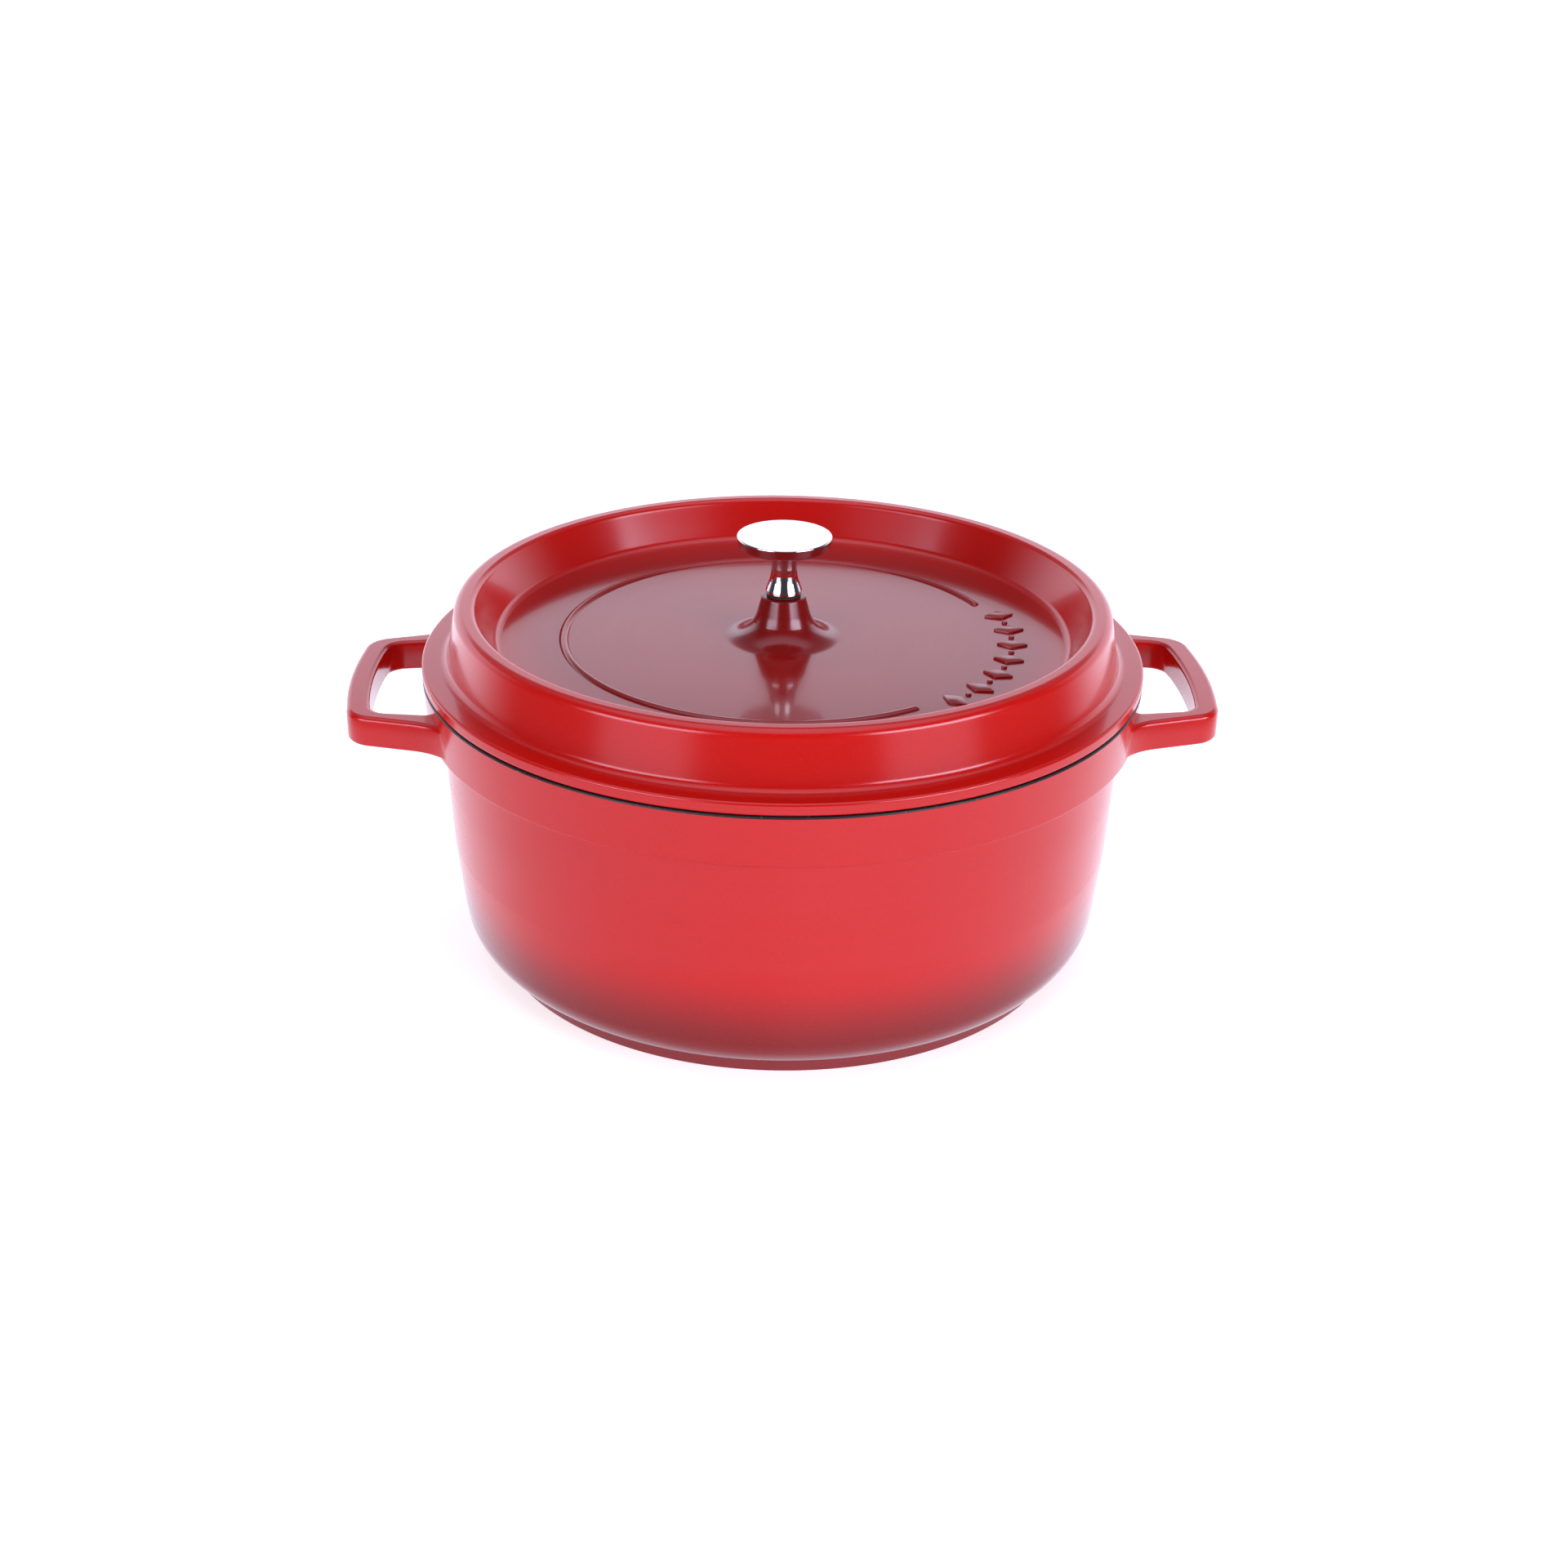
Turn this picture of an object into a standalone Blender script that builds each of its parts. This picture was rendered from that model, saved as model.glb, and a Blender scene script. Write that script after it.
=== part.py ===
"""Lidded casserole pot: a two-handled cast pot, its lid, and the lid's bolted knob.

Units are metres, +Z is up. The origin is the centre of the foot, on the ground.
+X runs through both handles, -Y is the front.
"""
import math

import bmesh
import bpy

MM = 0.001
GAP = 0.3 * MM                    # clearance between pieces that touch

# pot casting
RIM_RADIUS = 145.0 * MM
RIM_HEIGHT = 121.0 * MM
BAND_FOOT_HEIGHT = 100.5 * MM     # lower edge of the thick band under the rim
BAND_FOOT_RADIUS = 143.6 * MM
WALL_TOP_RADIUS = 137.3 * MM      # body just below the band
WALL_WAIST_RADIUS = 135.2 * MM    # body at mid height, where its taper steepens
WALL_WAIST_HEIGHT = 58.0 * MM
WALL_FOOT_RADIUS = 131.5 * MM     # body where the bottom corner begins
WALL_FOOT_HEIGHT = 20.2 * MM
CORNER_RADIUS = 18.0 * MM
FOOT_RADIUS = 118.8 * MM
FOOT_EDGE = 0.8 * MM
WALL = 4.4 * MM
RIM_EDGE = 1.2 * MM
RIM_FACE = 3.0 * MM               # flat of the rim inside its outer edge
BAND_EDGE = 1.0 * MM
BAND_STEP = 1.5 * MM              # drop of the band's lower face towards the wall
BAND_FILLET = 3.0 * MM
INNER_BLEND = 6.0 * MM            # inside, where the wall widens behind the band

# handles, cast in one with the band
HANDLE_TOP = 114.6 * MM
HANDLE_DEPTH = 12.6 * MM
HANDLE_REACH = 174.8 * MM         # outermost point of the grip bar
GRIP_WIDTH = 9.3 * MM
GRIP_BOW_RADIUS = 218.0 * MM
ARM_HALF_SPAN = 46.6 * MM         # arm's outer face beside the band
ARM_TAPER = -0.275                # arm's outer face: change of half span along X
ARM_START_X = 148.0 * MM
WINDOW_HALF_SPAN = 37.4 * MM
WINDOW_TAPER = -0.12
GRIP_HALF_SPAN = 26.0 * MM        # half length of the grip bar's outer side
GRIP_CORNER = 12.0 * MM
GRIP_CORNER_INSET = 3.2 * MM      # corner's distance short of the reach
WINDOW_BAR_HALF_SPAN = 24.0 * MM
WINDOW_CORNER = 8.0 * MM
WINDOW_CORNER_INSET = 1.6 * MM
ROOT_FLARE_RADIUS = 25.0 * MM
ROOT_BURY_RADIUS = 142.0 * MM     # the arm's end, inside the band's wall
HANDLE_EDGE = 1.8 * MM

# induction disc in the foot
DISC_RADIUS = 101.0 * MM
DISC_THICKNESS = 1.8 * MM
DISC_GROOVES = (35.0 * MM, 70.0 * MM)
GROOVE_WIDTH = 1.6 * MM
GROOVE_DEPTH = 0.6 * MM

# lid casting
FLANGE_THICKNESS = 5.0 * MM
FLANGE_EDGE = 1.0 * MM
FLANGE_LOWER_EDGE = 1.4 * MM
RIDGE_RADIUS = 127.25 * MM
RIDGE_HALF_WIDTH = 4.5 * MM
RIDGE_HEIGHT = 27.4 * MM          # ridge crest above the pot's rim
RIDGE_OUTER_EDGE = 3.6 * MM
RIDGE_INNER_EDGE = 2.6 * MM
RIDGE_SHOULDER = 2.0 * MM         # rounding and drop of the ridge's inner shoulder
LID_WALL_FOOT = 134.9 * MM
LID_FILLET = 3.5 * MM
LID_CEILING = 1.5 * MM            # extra metal in the top of the ridge
PANEL_RADIUS = 114.3 * MM
PANEL_HEIGHT = 11.3 * MM          # panel above the pot's rim
LID_WALL = 4.2 * MM
SKIRT_OUTER = 138.2 * MM
SKIRT_INNER = 134.6 * MM
SKIRT_DEPTH = 4.0 * MM
SKIRT_EDGE = 0.8 * MM
BEAD_RADIUS = 88.3 * MM
BEAD_HALF_WIDTH = 1.8 * MM
BEAD_RISE = 1.0 * MM
BEAD_START = 22.9                 # degrees, left open between end and start
BEAD_END = 302.2

# boss and knob
BOSS_HEIGHT = 28.6 * MM           # boss top above the pot's rim
BOSS_TOP_RADIUS = 8.7 * MM
BOSS_TOP_EDGE = 0.6 * MM
BOSS_NECK_RADIUS = 12.0 * MM      # where the boss starts to flare
BOSS_NECK_DROP = 8.6 * MM
BOSS_NECK_BEND = 20.0 * MM
BOSS_FOOT_RADIUS = 16.5 * MM      # corner that the flare rounds off
BOSS_FLARE = 14.0 * MM
BOSS_RECESS_RADIUS = 7.4 * MM
BOSS_RECESS_MOUTH = 13.5 * MM
BOSS_WEB = 9.0 * MM               # solid metal that the screw clamps
SCREW_HOLE_RADIUS = 3.3 * MM
GASKET_RADIUS = 6.9 * MM
GASKET_THICKNESS = 0.5 * MM
KNOB_TOP = 53.8 * MM              # knob's top face above the pot's rim
KNOB_DISC_RADIUS = 19.1 * MM
KNOB_DISC_THICKNESS = 4.5 * MM
STEM_FOOT_RADIUS = 7.3 * MM
STEM_RADIUS = 5.1 * MM
KNOB_BORE_DEPTH = 11.0 * MM

# screw and washers, M6
THREAD_RADIUS = 2.95 * MM
WASHER_RADIUS = 6.0 * MM
WASHER_THICKNESS = 1.6 * MM
LOCK_WASHER_RADIUS = 5.4 * MM
LOCK_WASHER_THICKNESS = 1.6 * MM
LOCK_WASHER_SLIT = 0.8 * MM
SCREW_HEAD_RADIUS = 5.8 * MM
SCREW_HEAD_HEIGHT = 4.0 * MM
SCREW_BITE = 9.0 * MM             # thread held in the knob
HEX_SOCKET_RADIUS = 2.3 * MM
HEX_SOCKET_DEPTH = 2.2 * MM

# fineness of the facets
BIG_STEPS = 56
PLATE_STEPS = 40
BEAD_STEPS = 44
CORNER_STEPS = 5
SMALL_STEPS = 28
HANDLE_FACET = 15.0               # degrees
KNOB_FACET = 24.0                 # degrees


def clear_scene():
    """Remove whatever the open file holds."""
    for leftover in list(bpy.data.objects):
        bpy.data.objects.remove(leftover, do_unlink=True)


def new_collection(name):
    collection = bpy.data.collections.new(name)
    bpy.context.scene.collection.children.link(collection)
    return collection


def material(name, colour, roughness, metallic):
    """A Principled material of one finish."""
    made = bpy.data.materials.new(name)
    made.use_nodes = True
    shader = made.node_tree.nodes["Principled BSDF"]
    shader.inputs["Base Color"].default_value = (*colour, 1.0)
    shader.inputs["Roughness"].default_value = roughness
    shader.inputs["Metallic"].default_value = metallic
    return made


def add_object(name, data, collection, finish=None):
    made = bpy.data.objects.new(name, data)
    collection.objects.link(made)
    if finish:
        data.materials.append(finish)
    return made


def arc(centre, radius, start, end, steps):
    """Points along an arc; angles in degrees."""
    points = []
    for i in range(steps + 1):
        angle = math.radians(start + (end - start) * i / steps)
        points.append((centre[0] + radius * math.cos(angle), centre[1] + radius * math.sin(angle)))
    return points


def round_corners(corners, facet=30.0):
    """Path through (x, y, radius) corners, rounded in facets of about so many degrees."""
    points = []
    last = len(corners) - 1
    for i, (x, y, radius) in enumerate(corners):
        if radius == 0.0 or i in (0, last):
            points.append((x, y))
            continue
        before = (corners[i - 1][0] - x, corners[i - 1][1] - y)
        after = (corners[i + 1][0] - x, corners[i + 1][1] - y)
        before = unit(before)
        after = unit(after)
        half = 0.5 * math.acos(max(-1.0, min(1.0, before[0] * after[0] + before[1] * after[1])))
        middle = unit((before[0] + after[0], before[1] + after[1]))
        reach = radius / math.sin(half)
        centre = (x + middle[0] * reach, y + middle[1] * reach)
        leg = radius / math.tan(half)
        start = math.atan2(y + before[1] * leg - centre[1], x + before[0] * leg - centre[0])
        end = math.atan2(y + after[1] * leg - centre[1], x + after[0] * leg - centre[0])
        turn = math.degrees((end - start + math.pi) % (2.0 * math.pi) - math.pi)
        steps = max(1, round(abs(turn) / facet))
        points += arc(centre, radius, math.degrees(start), math.degrees(start) + turn, steps)
    return points


def unit(vector):
    length = math.hypot(*vector)
    return (vector[0] / length, vector[1] / length)


def turned(name, profile, steps, collection, finish=None):
    """Solid of revolution; the closed (radius, height) profile runs down its outer side."""
    mesh = bpy.data.meshes.new(name)
    edges = [(i, (i + 1) % len(profile)) for i in range(len(profile))]
    mesh.from_pydata([(r, 0.0, z) for r, z in profile], edges, [])
    piece = add_object(name, mesh, collection, finish)
    screw = piece.modifiers.new("Screw", "SCREW")
    screw.steps = steps
    screw.render_steps = steps
    screw.use_merge_vertices = True
    screw.merge_threshold = 0.00001
    return piece


def boolean(piece, other, operation):
    cut = piece.modifiers.new(other.name, "BOOLEAN")
    cut.operation = operation
    cut.solver = "EXACT"
    cut.object = other


def bottom_corner(inset, end_radius):
    """Arc of the body's bottom corner, from the wall down to a given radius."""
    lean = math.atan2(WALL_WAIST_RADIUS - WALL_FOOT_RADIUS, WALL_WAIST_HEIGHT - WALL_FOOT_HEIGHT)
    centre = (WALL_FOOT_RADIUS - CORNER_RADIUS * math.cos(lean),
              WALL_FOOT_HEIGHT + CORNER_RADIUS * math.sin(lean))
    radius = CORNER_RADIUS - inset
    end = -math.degrees(math.acos((end_radius - centre[0]) / radius))
    return arc(centre, radius, -math.degrees(lean), end, CORNER_STEPS)


def pot_profile():
    """Section of the pot casting, from the rim down outside and up inside."""
    seat = (RIM_RADIUS - RIM_FACE, RIM_HEIGHT)
    foot_face = DISC_RADIUS + GAP
    recess = DISC_THICKNESS + GAP
    inner_band = BAND_FOOT_RADIUS - WALL
    inner_top = WALL_TOP_RADIUS - WALL
    outer_corner = bottom_corner(0.0, FOOT_RADIUS)
    inner_corner = bottom_corner(WALL, FOOT_RADIUS - WALL)
    outside = round_corners([
        (*seat, 0.0),
        (RIM_RADIUS, RIM_HEIGHT, RIM_EDGE),
        (BAND_FOOT_RADIUS, BAND_FOOT_HEIGHT, BAND_EDGE),
        (WALL_TOP_RADIUS, BAND_FOOT_HEIGHT - BAND_STEP, BAND_FILLET),
        (WALL_WAIST_RADIUS, WALL_WAIST_HEIGHT, 0.0),
        (*outer_corner[0], 0.0),
    ])
    foot = round_corners([
        (*outer_corner[-1], 0.0),
        (FOOT_RADIUS, 0.0, FOOT_EDGE),
        (foot_face, 0.0, 0.0),
        (foot_face, recess, 0.0),
        (0.0, recess, 0.0),
        (0.0, inner_corner[-1][1], 0.0),
    ])
    inside = round_corners([
        (*inner_corner[0], 0.0),
        (WALL_WAIST_RADIUS - WALL, WALL_WAIST_HEIGHT, 0.0),
        (inner_top, BAND_FOOT_HEIGHT - BAND_STEP, INNER_BLEND),
        (inner_band, BAND_FOOT_HEIGHT + INNER_BLEND, INNER_BLEND),
        (inner_band, RIM_HEIGHT, RIM_EDGE),
        (*seat, 0.0),
    ])
    return outside[:-1] + outer_corner + foot[1:] + inner_corner[::-1] + inside[1:-1]


def tangent_flare():
    """Arc that runs smoothly from the arm's outer face into the band's surface."""
    normal = unit((-ARM_TAPER, 1.0))
    offset = normal[0] * ARM_START_X + normal[1] * ARM_HALF_SPAN + ROOT_FLARE_RADIUS
    band = BAND_FOOT_RADIUS
    along = math.sqrt((band + ROOT_FLARE_RADIUS) ** 2 - offset ** 2)
    centre = (normal[0] * offset + normal[1] * along, normal[1] * offset - normal[0] * along)
    on_arm = math.degrees(math.atan2(-normal[1], -normal[0]))
    on_band = math.degrees(math.atan2(-centre[1], -centre[0]))
    return arc(centre, ROOT_FLARE_RADIUS, on_band, on_arm, 8)


def grip_arc(reach, half_span, steps):
    """Bowed side of the grip bar, from its far corner to the middle."""
    points = []
    for i in range(steps + 1):
        y = half_span * (1.0 - i / steps)
        points.append((reach - y * y / (2.0 * GRIP_BOW_RADIUS), y))
    return points


def half_handle_outline():
    """Outer and inner path of half a handle, both from the band to the middle of the grip."""
    flare = tangent_flare()
    buried = unit(flare[0])
    start = (buried[0] * ROOT_BURY_RADIUS, buried[1] * ROOT_BURY_RADIUS)
    corner_x = HANDLE_REACH - GRIP_CORNER_INSET
    corner_y = ARM_HALF_SPAN + ARM_TAPER * (corner_x - ARM_START_X)
    outer_bar = grip_arc(HANDLE_REACH, GRIP_HALF_SPAN, 4)
    outer = [start] + flare
    corner = [(*flare[-1], 0.0), (corner_x, corner_y, GRIP_CORNER), (*outer_bar[0], 0.0)]
    outer += round_corners(corner, HANDLE_FACET)[1:-1] + outer_bar
    inner_bar = grip_arc(HANDLE_REACH - GRIP_WIDTH, WINDOW_BAR_HALF_SPAN, 3)
    root_x = math.sqrt(ROOT_BURY_RADIUS ** 2 - (WINDOW_HALF_SPAN + 1.0 * MM) ** 2)
    root_y = WINDOW_HALF_SPAN + WINDOW_TAPER * (root_x - ARM_START_X)
    corner_x = HANDLE_REACH - GRIP_WIDTH - WINDOW_CORNER_INSET
    corner_y = WINDOW_HALF_SPAN + WINDOW_TAPER * (corner_x - ARM_START_X)
    corner = [(root_x, root_y, 0.0), (corner_x, corner_y, WINDOW_CORNER), (*inner_bar[0], 0.0)]
    inner = round_corners(corner, HANDLE_FACET)[:-1] + inner_bar
    return outer, inner


def handle(name, side, collection):
    """One loop handle, as the solid that joins the pot; side is +1 or -1 along X."""
    outer, inner = half_handle_outline()
    outline = outer + [(x, -y) for x, y in reversed(outer[:-1])]
    outline += [(x, -y) for x, y in inner] + list(reversed(inner[:-1]))
    curve = bpy.data.curves.new(name, "CURVE")
    curve.dimensions = "2D"
    curve.fill_mode = "BOTH"
    curve.extrude = HANDLE_DEPTH / 2.0
    spline = curve.splines.new("POLY")
    spline.points.add(len(outline) - 1)
    for point, (x, y) in zip(spline.points, outline):
        point.co = (side * x, side * y, 0.0, 1.0)
    spline.use_cyclic_u = True
    flat = add_object(name + "_outline", curve, collection)
    flat.location.z = HANDLE_TOP - HANDLE_DEPTH / 2.0
    solid = mesh_from_curve(name, flat, collection)
    rounding = solid.modifiers.new("Bevel", "BEVEL")
    rounding.width = HANDLE_EDGE
    rounding.segments = 2
    rounding.limit_method = "ANGLE"
    rounding.angle_limit = math.radians(60.0)
    return solid


def mesh_from_curve(name, curve_object, collection):
    """Welded mesh object that takes a curve object's place."""
    bpy.context.view_layer.update()
    evaluated = curve_object.evaluated_get(bpy.context.evaluated_depsgraph_get())
    mesh = bpy.data.meshes.new_from_object(evaluated)
    work = bmesh.new()
    work.from_mesh(mesh)
    bmesh.ops.remove_doubles(work, verts=work.verts, dist=0.00001)
    bmesh.ops.dissolve_limit(work, angle_limit=math.radians(0.5), verts=work.verts, edges=work.edges)
    work.to_mesh(mesh)
    work.free()
    mesh.name = name
    solid = add_object(name, mesh, collection)
    solid.matrix_world = curve_object.matrix_world
    bpy.data.objects.remove(curve_object, do_unlink=True)
    return solid


def pot_body(collection, cutters):
    """Pot casting with both handles joined to its band."""
    red = material("red_lacquer", (0.62, 0.03, 0.03), 0.3, 0.3)
    body = turned("pot_body", pot_profile(), BIG_STEPS, collection, red)
    for side, name in ((1, "handle_right"), (-1, "handle_left")):
        grip = handle(name, side, cutters)
        hide_guide(grip)
        boolean(body, grip, "UNION")
    return body


def base_plate(collection):
    """Steel disc with shallow round grooves in its lower face."""
    steel = material("base_steel", (0.62, 0.62, 0.63), 0.35, 1.0)
    profile = [(DISC_RADIUS, DISC_THICKNESS), (DISC_RADIUS, 0.0)]
    for groove in reversed(DISC_GROOVES):
        near = groove - GROOVE_WIDTH / 2.0
        far = groove + GROOVE_WIDTH / 2.0
        profile += [(far, 0.0), (far, GROOVE_DEPTH), (near, GROOVE_DEPTH), (near, 0.0)]
    profile += [(0.0, 0.0), (0.0, DISC_THICKNESS)]
    return turned("base_plate", profile, PLATE_STEPS, collection, steel)


def lid_profile():
    """Section of the lid casting, from the screw hole out over the top and back below."""
    seat = RIM_HEIGHT + GAP
    flange_top = seat + FLANGE_THICKNESS
    panel = RIM_HEIGHT + PANEL_HEIGHT
    boss_top = RIM_HEIGHT + BOSS_HEIGHT
    crest = RIM_HEIGHT + RIDGE_HEIGHT
    outside = RIDGE_RADIUS + RIDGE_HALF_WIDTH
    inside = RIDGE_RADIUS - RIDGE_HALF_WIDTH
    ceiling = crest - LID_WALL - LID_CEILING
    return round_corners([
        (SCREW_HOLE_RADIUS, boss_top, 0.0),
        (BOSS_TOP_RADIUS, boss_top, BOSS_TOP_EDGE),
        (BOSS_NECK_RADIUS, boss_top - BOSS_NECK_DROP, BOSS_NECK_BEND),
        (BOSS_FOOT_RADIUS, panel, BOSS_FLARE),
        (PANEL_RADIUS + 1.2 * MM, panel, LID_FILLET),
        (inside, crest - RIDGE_SHOULDER, RIDGE_SHOULDER),
        (inside + 0.9 * MM, crest, RIDGE_INNER_EDGE),
        (outside - 0.6 * MM, crest, RIDGE_OUTER_EDGE),
        (LID_WALL_FOOT, flange_top, LID_FILLET),
        (RIM_RADIUS, flange_top, FLANGE_EDGE),
        (RIM_RADIUS, seat, FLANGE_LOWER_EDGE),
        (SKIRT_OUTER, seat, 0.0),
        (SKIRT_OUTER, seat - SKIRT_DEPTH, SKIRT_EDGE),
        (SKIRT_INNER, seat - SKIRT_DEPTH, SKIRT_EDGE),
        (LID_WALL_FOOT - LID_WALL, seat, 2.0 * MM),
        (outside - LID_WALL, ceiling, SKIRT_EDGE),
        (inside + LID_WALL - 1.0 * MM, ceiling, SKIRT_EDGE),
        (PANEL_RADIUS + 4.0 * MM, panel - LID_WALL, 4.0 * MM),
        (BOSS_RECESS_MOUTH, panel - LID_WALL, 1.5 * MM),
        (BOSS_RECESS_RADIUS, boss_top - BOSS_WEB, 0.0),
        (SCREW_HOLE_RADIUS, boss_top - BOSS_WEB, 0.0),
    ])


def bead(cutters):
    """Open ring of half-round bead that stands on the lid's panel."""
    curve = bpy.data.curves.new("bead", "CURVE")
    curve.dimensions = "3D"
    curve.bevel_depth = BEAD_HALF_WIDTH
    curve.bevel_resolution = 1
    curve.use_fill_caps = True
    spline = curve.splines.new("POLY")
    spline.points.add(BEAD_STEPS)
    height = RIM_HEIGHT + PANEL_HEIGHT + BEAD_RISE - BEAD_HALF_WIDTH
    circle = arc((0.0, 0.0), BEAD_RADIUS, BEAD_START, BEAD_END, BEAD_STEPS)
    for point, (x, y) in zip(spline.points, circle):
        point.co = (x, y, height, 1.0)
    path = add_object("bead_path", curve, cutters)
    return mesh_from_curve("bead", path, cutters)


def lid(collection, cutters):
    """Lid casting with its bead ring."""
    red = material("lid_lacquer", (0.55, 0.02, 0.02), 0.28, 0.35)
    cover = turned("lid", lid_profile(), BIG_STEPS, collection, red)
    trim = bead(cutters)
    hide_guide(trim)
    boolean(cover, trim, "UNION")
    return cover


def hide_guide(guide):
    guide.hide_render = True
    guide.display_type = "WIRE"


def knob(collection):
    """Mushroom knob: flat disc on a flared stem, bored from below for the screw."""
    steel = material("knob_steel", (0.8, 0.8, 0.8), 0.08, 1.0)
    top = RIM_HEIGHT + KNOB_TOP
    below = top - KNOB_DISC_THICKNESS
    foot = knob_foot()
    bore = THREAD_RADIUS + GAP
    outline = [
        (0.0, top, 0.0),
        (KNOB_DISC_RADIUS, top, 0.5 * MM),
        (KNOB_DISC_RADIUS - 0.7 * MM, below, 1.2 * MM),
        (STEM_RADIUS, below, 1.4 * MM),
        (STEM_RADIUS, foot + 9.0 * MM, 14.0 * MM),
        (STEM_FOOT_RADIUS, foot + 1.6 * MM, 0.4 * MM),
        (STEM_FOOT_RADIUS, foot + 0.6 * MM, 0.0),
        (STEM_FOOT_RADIUS - 0.5 * MM, foot, 0.0),
        (bore, foot, 0.0),
        (bore, foot + KNOB_BORE_DEPTH, 0.0),
        (0.0, foot + KNOB_BORE_DEPTH + 1.5 * MM, 0.0),
    ]
    return turned("knob", round_corners(outline, KNOB_FACET), SMALL_STEPS, collection, steel)


def knob_foot():
    """Height of the stem's lower face, on top of the gasket."""
    return RIM_HEIGHT + BOSS_HEIGHT + GASKET_THICKNESS + 2.0 * GAP


def ring(name, outer, inner, low, high, steps, collection, finish):
    profile = [(outer, high), (outer, low), (inner, low), (inner, high)]
    return turned(name, profile, steps, collection, finish)


def knob_fixings(collection, cutters):
    """Gasket, washers and the screw that hold the knob to the boss."""
    rubber = material("gasket_rubber", (0.03, 0.03, 0.03), 0.7, 0.0)
    zinc = material("fixing_steel", (0.6, 0.6, 0.6), 0.3, 1.0)
    boss_top = RIM_HEIGHT + BOSS_HEIGHT
    gasket_low = boss_top + GAP
    ring("knob_gasket", GASKET_RADIUS, SCREW_HOLE_RADIUS, gasket_low,
         gasket_low + GASKET_THICKNESS, SMALL_STEPS, collection, rubber)
    washer_high = boss_top - BOSS_WEB - GAP
    washer_low = washer_high - WASHER_THICKNESS
    ring("flat_washer", WASHER_RADIUS, SCREW_HOLE_RADIUS, washer_low, washer_high,
         SMALL_STEPS, collection, zinc)
    lock_high = washer_low - GAP
    lock_low = lock_high - LOCK_WASHER_THICKNESS
    lock_washer = ring("lock_washer", LOCK_WASHER_RADIUS, SCREW_HOLE_RADIUS, lock_low,
                       lock_high, SMALL_STEPS, collection, zinc)
    slit_washer(lock_washer, (lock_low + lock_high) / 2.0, cutters)
    knob_screw(lock_low - GAP, collection, cutters, zinc)


def slit_washer(washer, height, cutters):
    """Slanted slit through one side of the spring washer."""
    bpy.ops.mesh.primitive_cube_add(size=1.0, location=(LOCK_WASHER_RADIUS, 0.0, height))
    slit = bpy.context.object
    slit.name = "washer_slit"
    slit.scale = (2.0 * LOCK_WASHER_RADIUS, LOCK_WASHER_SLIT, 4.0 * LOCK_WASHER_THICKNESS)
    slit.rotation_euler.x = math.radians(25.0)
    move_to(slit, cutters)
    hide_guide(slit)
    boolean(washer, slit, "DIFFERENCE")


def move_to(piece, collection):
    for owner in list(piece.users_collection):
        owner.objects.unlink(piece)
    collection.objects.link(piece)


def knob_screw(head_top, collection, cutters, finish):
    """Cap screw with a hexagon socket, its head down inside the lid."""
    tip = knob_foot() + SCREW_BITE
    head_low = head_top - SCREW_HEAD_HEIGHT
    outline = [
        (0.0, tip, 0.0),
        (THREAD_RADIUS - 0.6 * MM, tip, 0.0),
        (THREAD_RADIUS, tip - 0.6 * MM, 0.0),
        (THREAD_RADIUS, head_top, 0.0),
        (SCREW_HEAD_RADIUS, head_top, 0.0),
        (SCREW_HEAD_RADIUS, head_low, 1.0 * MM),
        (0.0, head_low, 0.0),
    ]
    screw = turned("knob_screw", round_corners(outline), SMALL_STEPS, collection, finish)
    bpy.ops.mesh.primitive_cylinder_add(vertices=6, radius=HEX_SOCKET_RADIUS,
                                        depth=2.0 * HEX_SOCKET_DEPTH, location=(0.0, 0.0, head_low))
    socket = bpy.context.object
    socket.name = "hex_socket"
    move_to(socket, cutters)
    hide_guide(socket)
    boolean(screw, socket, "DIFFERENCE")
    return screw


def main():
    clear_scene()
    collection = new_collection("casserole_pot")
    cutters = new_collection("guides")
    pot_body(collection, cutters)
    base_plate(collection)
    lid(collection, cutters)
    knob(collection)
    knob_fixings(collection, cutters)


main()
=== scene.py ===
"""Looks of a lidded casserole pot: the lacquered casting, its lid, its knob and the fixings.

Everything is in metres, +Z is up, the centre of the foot is the origin and +X runs through
both handles. Each sub-assembly is a class that holds its sizes and models its own pieces,
and each finish is a frozen dataclass that makes one material.
"""
import logging
import math
from collections.abc import Callable, Iterable
from dataclasses import dataclass
from enum import Enum

import bmesh
import bpy
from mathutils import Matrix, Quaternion, Vector


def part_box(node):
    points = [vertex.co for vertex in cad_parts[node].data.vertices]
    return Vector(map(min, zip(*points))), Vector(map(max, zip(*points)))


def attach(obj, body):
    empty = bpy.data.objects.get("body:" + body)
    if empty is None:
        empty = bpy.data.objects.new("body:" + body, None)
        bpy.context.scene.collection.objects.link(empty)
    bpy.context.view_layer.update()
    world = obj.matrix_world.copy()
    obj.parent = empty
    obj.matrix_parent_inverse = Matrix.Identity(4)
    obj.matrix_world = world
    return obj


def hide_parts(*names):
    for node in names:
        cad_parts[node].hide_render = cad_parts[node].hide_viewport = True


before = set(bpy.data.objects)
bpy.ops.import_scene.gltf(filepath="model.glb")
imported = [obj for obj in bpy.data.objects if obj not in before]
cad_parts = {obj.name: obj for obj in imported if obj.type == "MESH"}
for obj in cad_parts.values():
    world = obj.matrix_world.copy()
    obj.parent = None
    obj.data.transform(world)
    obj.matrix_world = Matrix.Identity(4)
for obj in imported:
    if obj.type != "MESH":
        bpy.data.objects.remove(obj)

MM = 0.001
TOUCH = 0.001 * MM
ORIGIN = (0.0, 0.0, 0.0)
UP = (0.0, 0.0, 1.0)
DOWN = (0.0, 0.0, -1.0)

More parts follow.
